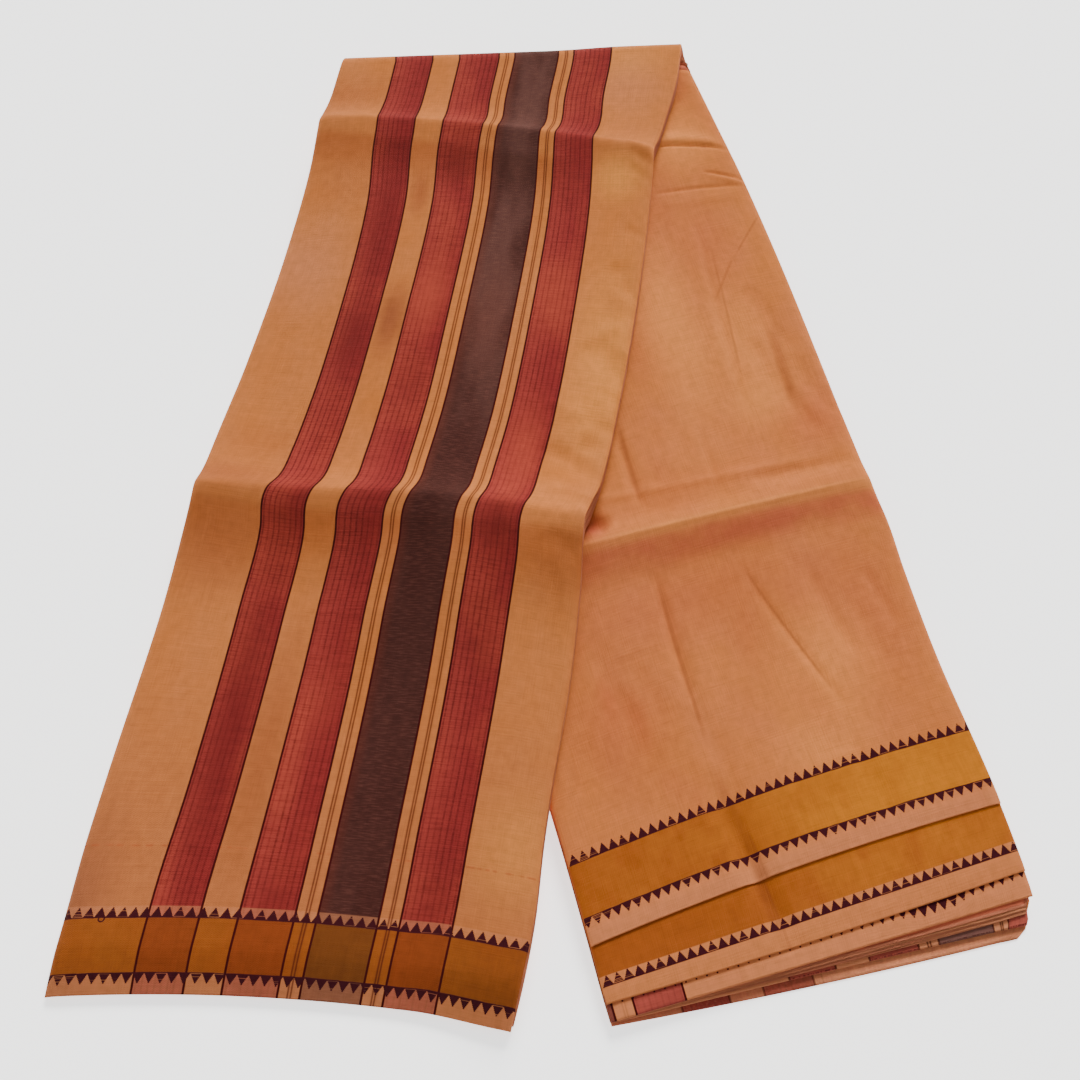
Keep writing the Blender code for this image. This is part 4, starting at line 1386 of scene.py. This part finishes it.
def plain_colours(at):
    """The peach ground, the border near its hem, and painted shade along the fan's creases."""
    ground, golden = plain_ground(at)
    mustard, triangles = placed(border, at.across, at.along, 0.014, 0.0415)
    golden = mixed(step(at.across, 0.06, 0.19) * 0.55, golden, MUSTARD_BRIGHT)
    colour = mixed(mustard * 0.95, ground, golden)
    # Painted shade along the fan's creases.
    colour = mixed(painted_crease_shade(at, FAN_CREASE_SHADE_LINES), colour, BROWN_RUDDY)
    return mixed(triangles, colour, MAROON)


def reverse_colours(at):
    """Seen from its back, the border's lower triangles point up at the mustard."""
    ground, golden = plain_ground(at)
    ground = mixed(0.35, ground, TAN_GOLD)
    left = 1 - step(at.across, 0.02, 0.14)
    golden = mixed(left * 0.5 + 0.28, golden, MUSTARD_DARK)
    colour = mixed(step(at.along, 0.0051, 0.0055) * 0.93, ground, golden)
    # Painted shade along the fan's creases.
    colour = mixed(painted_crease_shade(at, FAN_CREASE_SHADE_LINES), colour, BROWN_RUDDY)
    return mixed(placed(temple, at.across, at.along, FAN_PITCH, 0.0051), colour, MAROON)


def margin_colours(at):
    """The striped end's other border, of which the hem above shows only the points."""
    ground, golden = plain_ground(at)
    colour, reds, brown, edges, pairs = placed(stripes, at.cloth, ground)
    colour = mixed(largest(reds, brown), ground, mixed(0.3, colour, ROSE))
    colour = mixed(pairs * 0.2, colour, PAIR)
    colour = mixed(edges, colour, OUTLINE)
    above = step(at.along, MARGIN_LINE - SOFT, MARGIN_LINE + SOFT)
    colour = mixed(above * 0.93, colour, golden)
    hanging = placed(temple, at.across, MARGIN_LINE - at.along, FAN_PITCH, TRIANGLE)
    return mixed(hanging, colour, MAROON)


def worn_and_painted_light_colours(at):
    """The worn stripes at the lowest stretch's hem, on a pale ground and paled further, partly as
    wear and partly as painted light on a strip that the hems above shade. Each stripe has a broken
    dark outline along its sides and beside the hem, and there is no border."""
    colour, reds, brown, edges, pairs = placed(stripes, at.cloth, PEACH_PALE)
    colour = mixed(reds * 0.5, colour, ROSE)
    colour = mixed(brown * 0.7, colour, BROWN_GREY)
    broken = step(stretched(at.cloth, (900, 900), 1), 0.4, 0.6)
    row = close_to(at.along, 0.0008, 0.0001, 0.0005) * largest(reds, brown) * broken
    return mixed(largest(edges, pairs, row) * 0.8, colour, OUTLINE)


plain_cotton = cotton("plain_cotton", plain_colours)
reverse_cotton = cotton("reverse_cotton", reverse_colours)
margin_cotton = cotton("margin_cotton", margin_colours)
worn_and_painted_light_cotton = cotton("worn_and_painted_light_cotton", worn_and_painted_light_colours)

# %% [markdown]
# ## The edges of the hidden layers
#
# What is seen of the pile is its side: one rounded fold above the next, with a dark line of shade
# between, which is painted shade here, over a pale peach that is partly painted light on these
# shaded sides. The folds' own map counts them, so the painted line falls between two folds
# wherever they drift.

# %% Edges of the pile
def edge_colours(at):
    """Pale peach, partly painted light, rosier in some folds, and painted shade where two folds
    meet. Across counts folds.
    """
    # Painted shade where two folds meet.
    fold_gap_shade = step(abs(maths("FRACT", at.across) - 0.5), 0.36, 0.49)
    fold = {"W": maths("FLOOR", at.across)}
    lots = made("TexWhiteNoise", fold, noise_dimensions="1D")
    return mixed(fold_gap_shade * 0.7, mixed(lots * 0.5, PEACH_PALE, ROSE), PEACH_RED)


layer_edge_cotton = cotton("layer_edge_cotton", edge_colours)

# %% [markdown]
# ## Each cloth takes its solid's place
#
# Every stretch rides on the part's one body, stands for its solid, and says what it was cut to:
# the band is BAND wide, and its length is what the stretch runs in the cloth.

# %% Riding, replacing and printing sizes
DRESSED = (
    (striped, "pallu_stretch", "striped_cotton", striped_cotton, STRIPED_LENGTH),
    (plain, "upper_face_stretch", "plain_cotton", plain_cotton, FACE_START - FACE_HEM[0]),
    (reverse, "reverse_border_stretch", "plain_cotton", reverse_cotton, FAN_TOP - REVERSE_HEM[0]),
    (margin, "margin_stretch", "plain_cotton", margin_cotton, FAN_TOP - MARGIN_HEM[0]),
    (worn_end, "stripe_end_stretch", "striped_cotton", worn_and_painted_light_cotton, FAN_TOP - STRIPE_HEM[0]),
)
for piece, solid, slot_name, material, length in DRESSED:
    piece.data.materials.append(material)
    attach(piece, "root")
    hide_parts(solid)
    print(f"{piece.name}: {BAND:.3f} m by {length:.3f} m")
hidden.data.materials.append(layer_edge_cotton)
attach(hidden, "root")
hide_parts("hidden_layers")

# %% [markdown]
# ## Floor, light and camera
#
# Folds show under light from one side that is large enough for soft edges: a window-sized light
# beyond the fold, a low warm one to open the shadows, and a pale world for the rest.

# %% Stage
FLOOR_HALF = 6
FLOOR = {
    "Base Color": (0.95, 0.95, 0.95, 1),
    "Emission Color": (1, 1, 1, 1),
    "Emission Strength": 1.5,
    "Roughness": 0.9,
}
CAMERA_AT = (-0.00305, -0.51706, 0.809)
CAMERA_TILT = np.radians(30)
LENS = 54.83


def far_light(name, towards, strength, spread, colour):
    """Even light from one direction, softened by a spread in degrees, as from a far window."""
    light = bpy.data.lights.new(name, "SUN")
    light.energy, light.angle, light.color = strength, np.radians(spread), colour
    turned = mathutils.Vector(towards).to_track_quat("Z", "Y").to_euler()
    added(name, light).rotation_euler = turned


pale = bpy.data.materials.new("pale_floor")
pale.use_nodes = True
for label, value in FLOOR.items():
    pale.node_tree.nodes["Principled BSDF"].inputs[label].default_value = value
corners = [(FLOOR_HALF * x, FLOOR_HALF * y, 0) for x, y in ((-1, -1), (1, -1), (1, 1), (-1, 1))]
floor_mesh = bpy.data.meshes.new("floor")
floor_mesh.from_pydata(corners, [], [(0, 1, 2, 3)])
floor_mesh.materials.append(pale)
added("floor", floor_mesh)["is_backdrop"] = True

far_light("window", (0.2, 0.9, 0.6), 5.2, 24, (1, 0.98, 0.95))
far_light("warm_fill", (-0.3, -0.9, 0.7), 0.55, 70, (1, 0.95, 0.88))

world = bpy.data.worlds.new("studio")
world.use_nodes = True
world.node_tree.nodes["Background"].inputs["Color"].default_value = (1, 1, 1, 1)
world.node_tree.nodes["Background"].inputs["Strength"].default_value = 0.42
bpy.context.scene.world = world

camera_data = bpy.data.cameras.new("camera")
camera_data.lens, camera_data.sensor_width = LENS, 36
camera = added("camera", camera_data)
camera.location, camera.rotation_euler = CAMERA_AT, (CAMERA_TILT, 0, 0)
bpy.context.scene.camera = camera

# %% Sizes and finish
VISUAL_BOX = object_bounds()
sizes = {"cad": [list(corner) for corner in CAD_BOX], "visual": [list(c) for c in VISUAL_BOX]}
for corner, seen in zip(sizes["cad"], sizes["visual"]):
    print([round(1000 * (b - a), 1) for a, b in zip(corner, seen)])
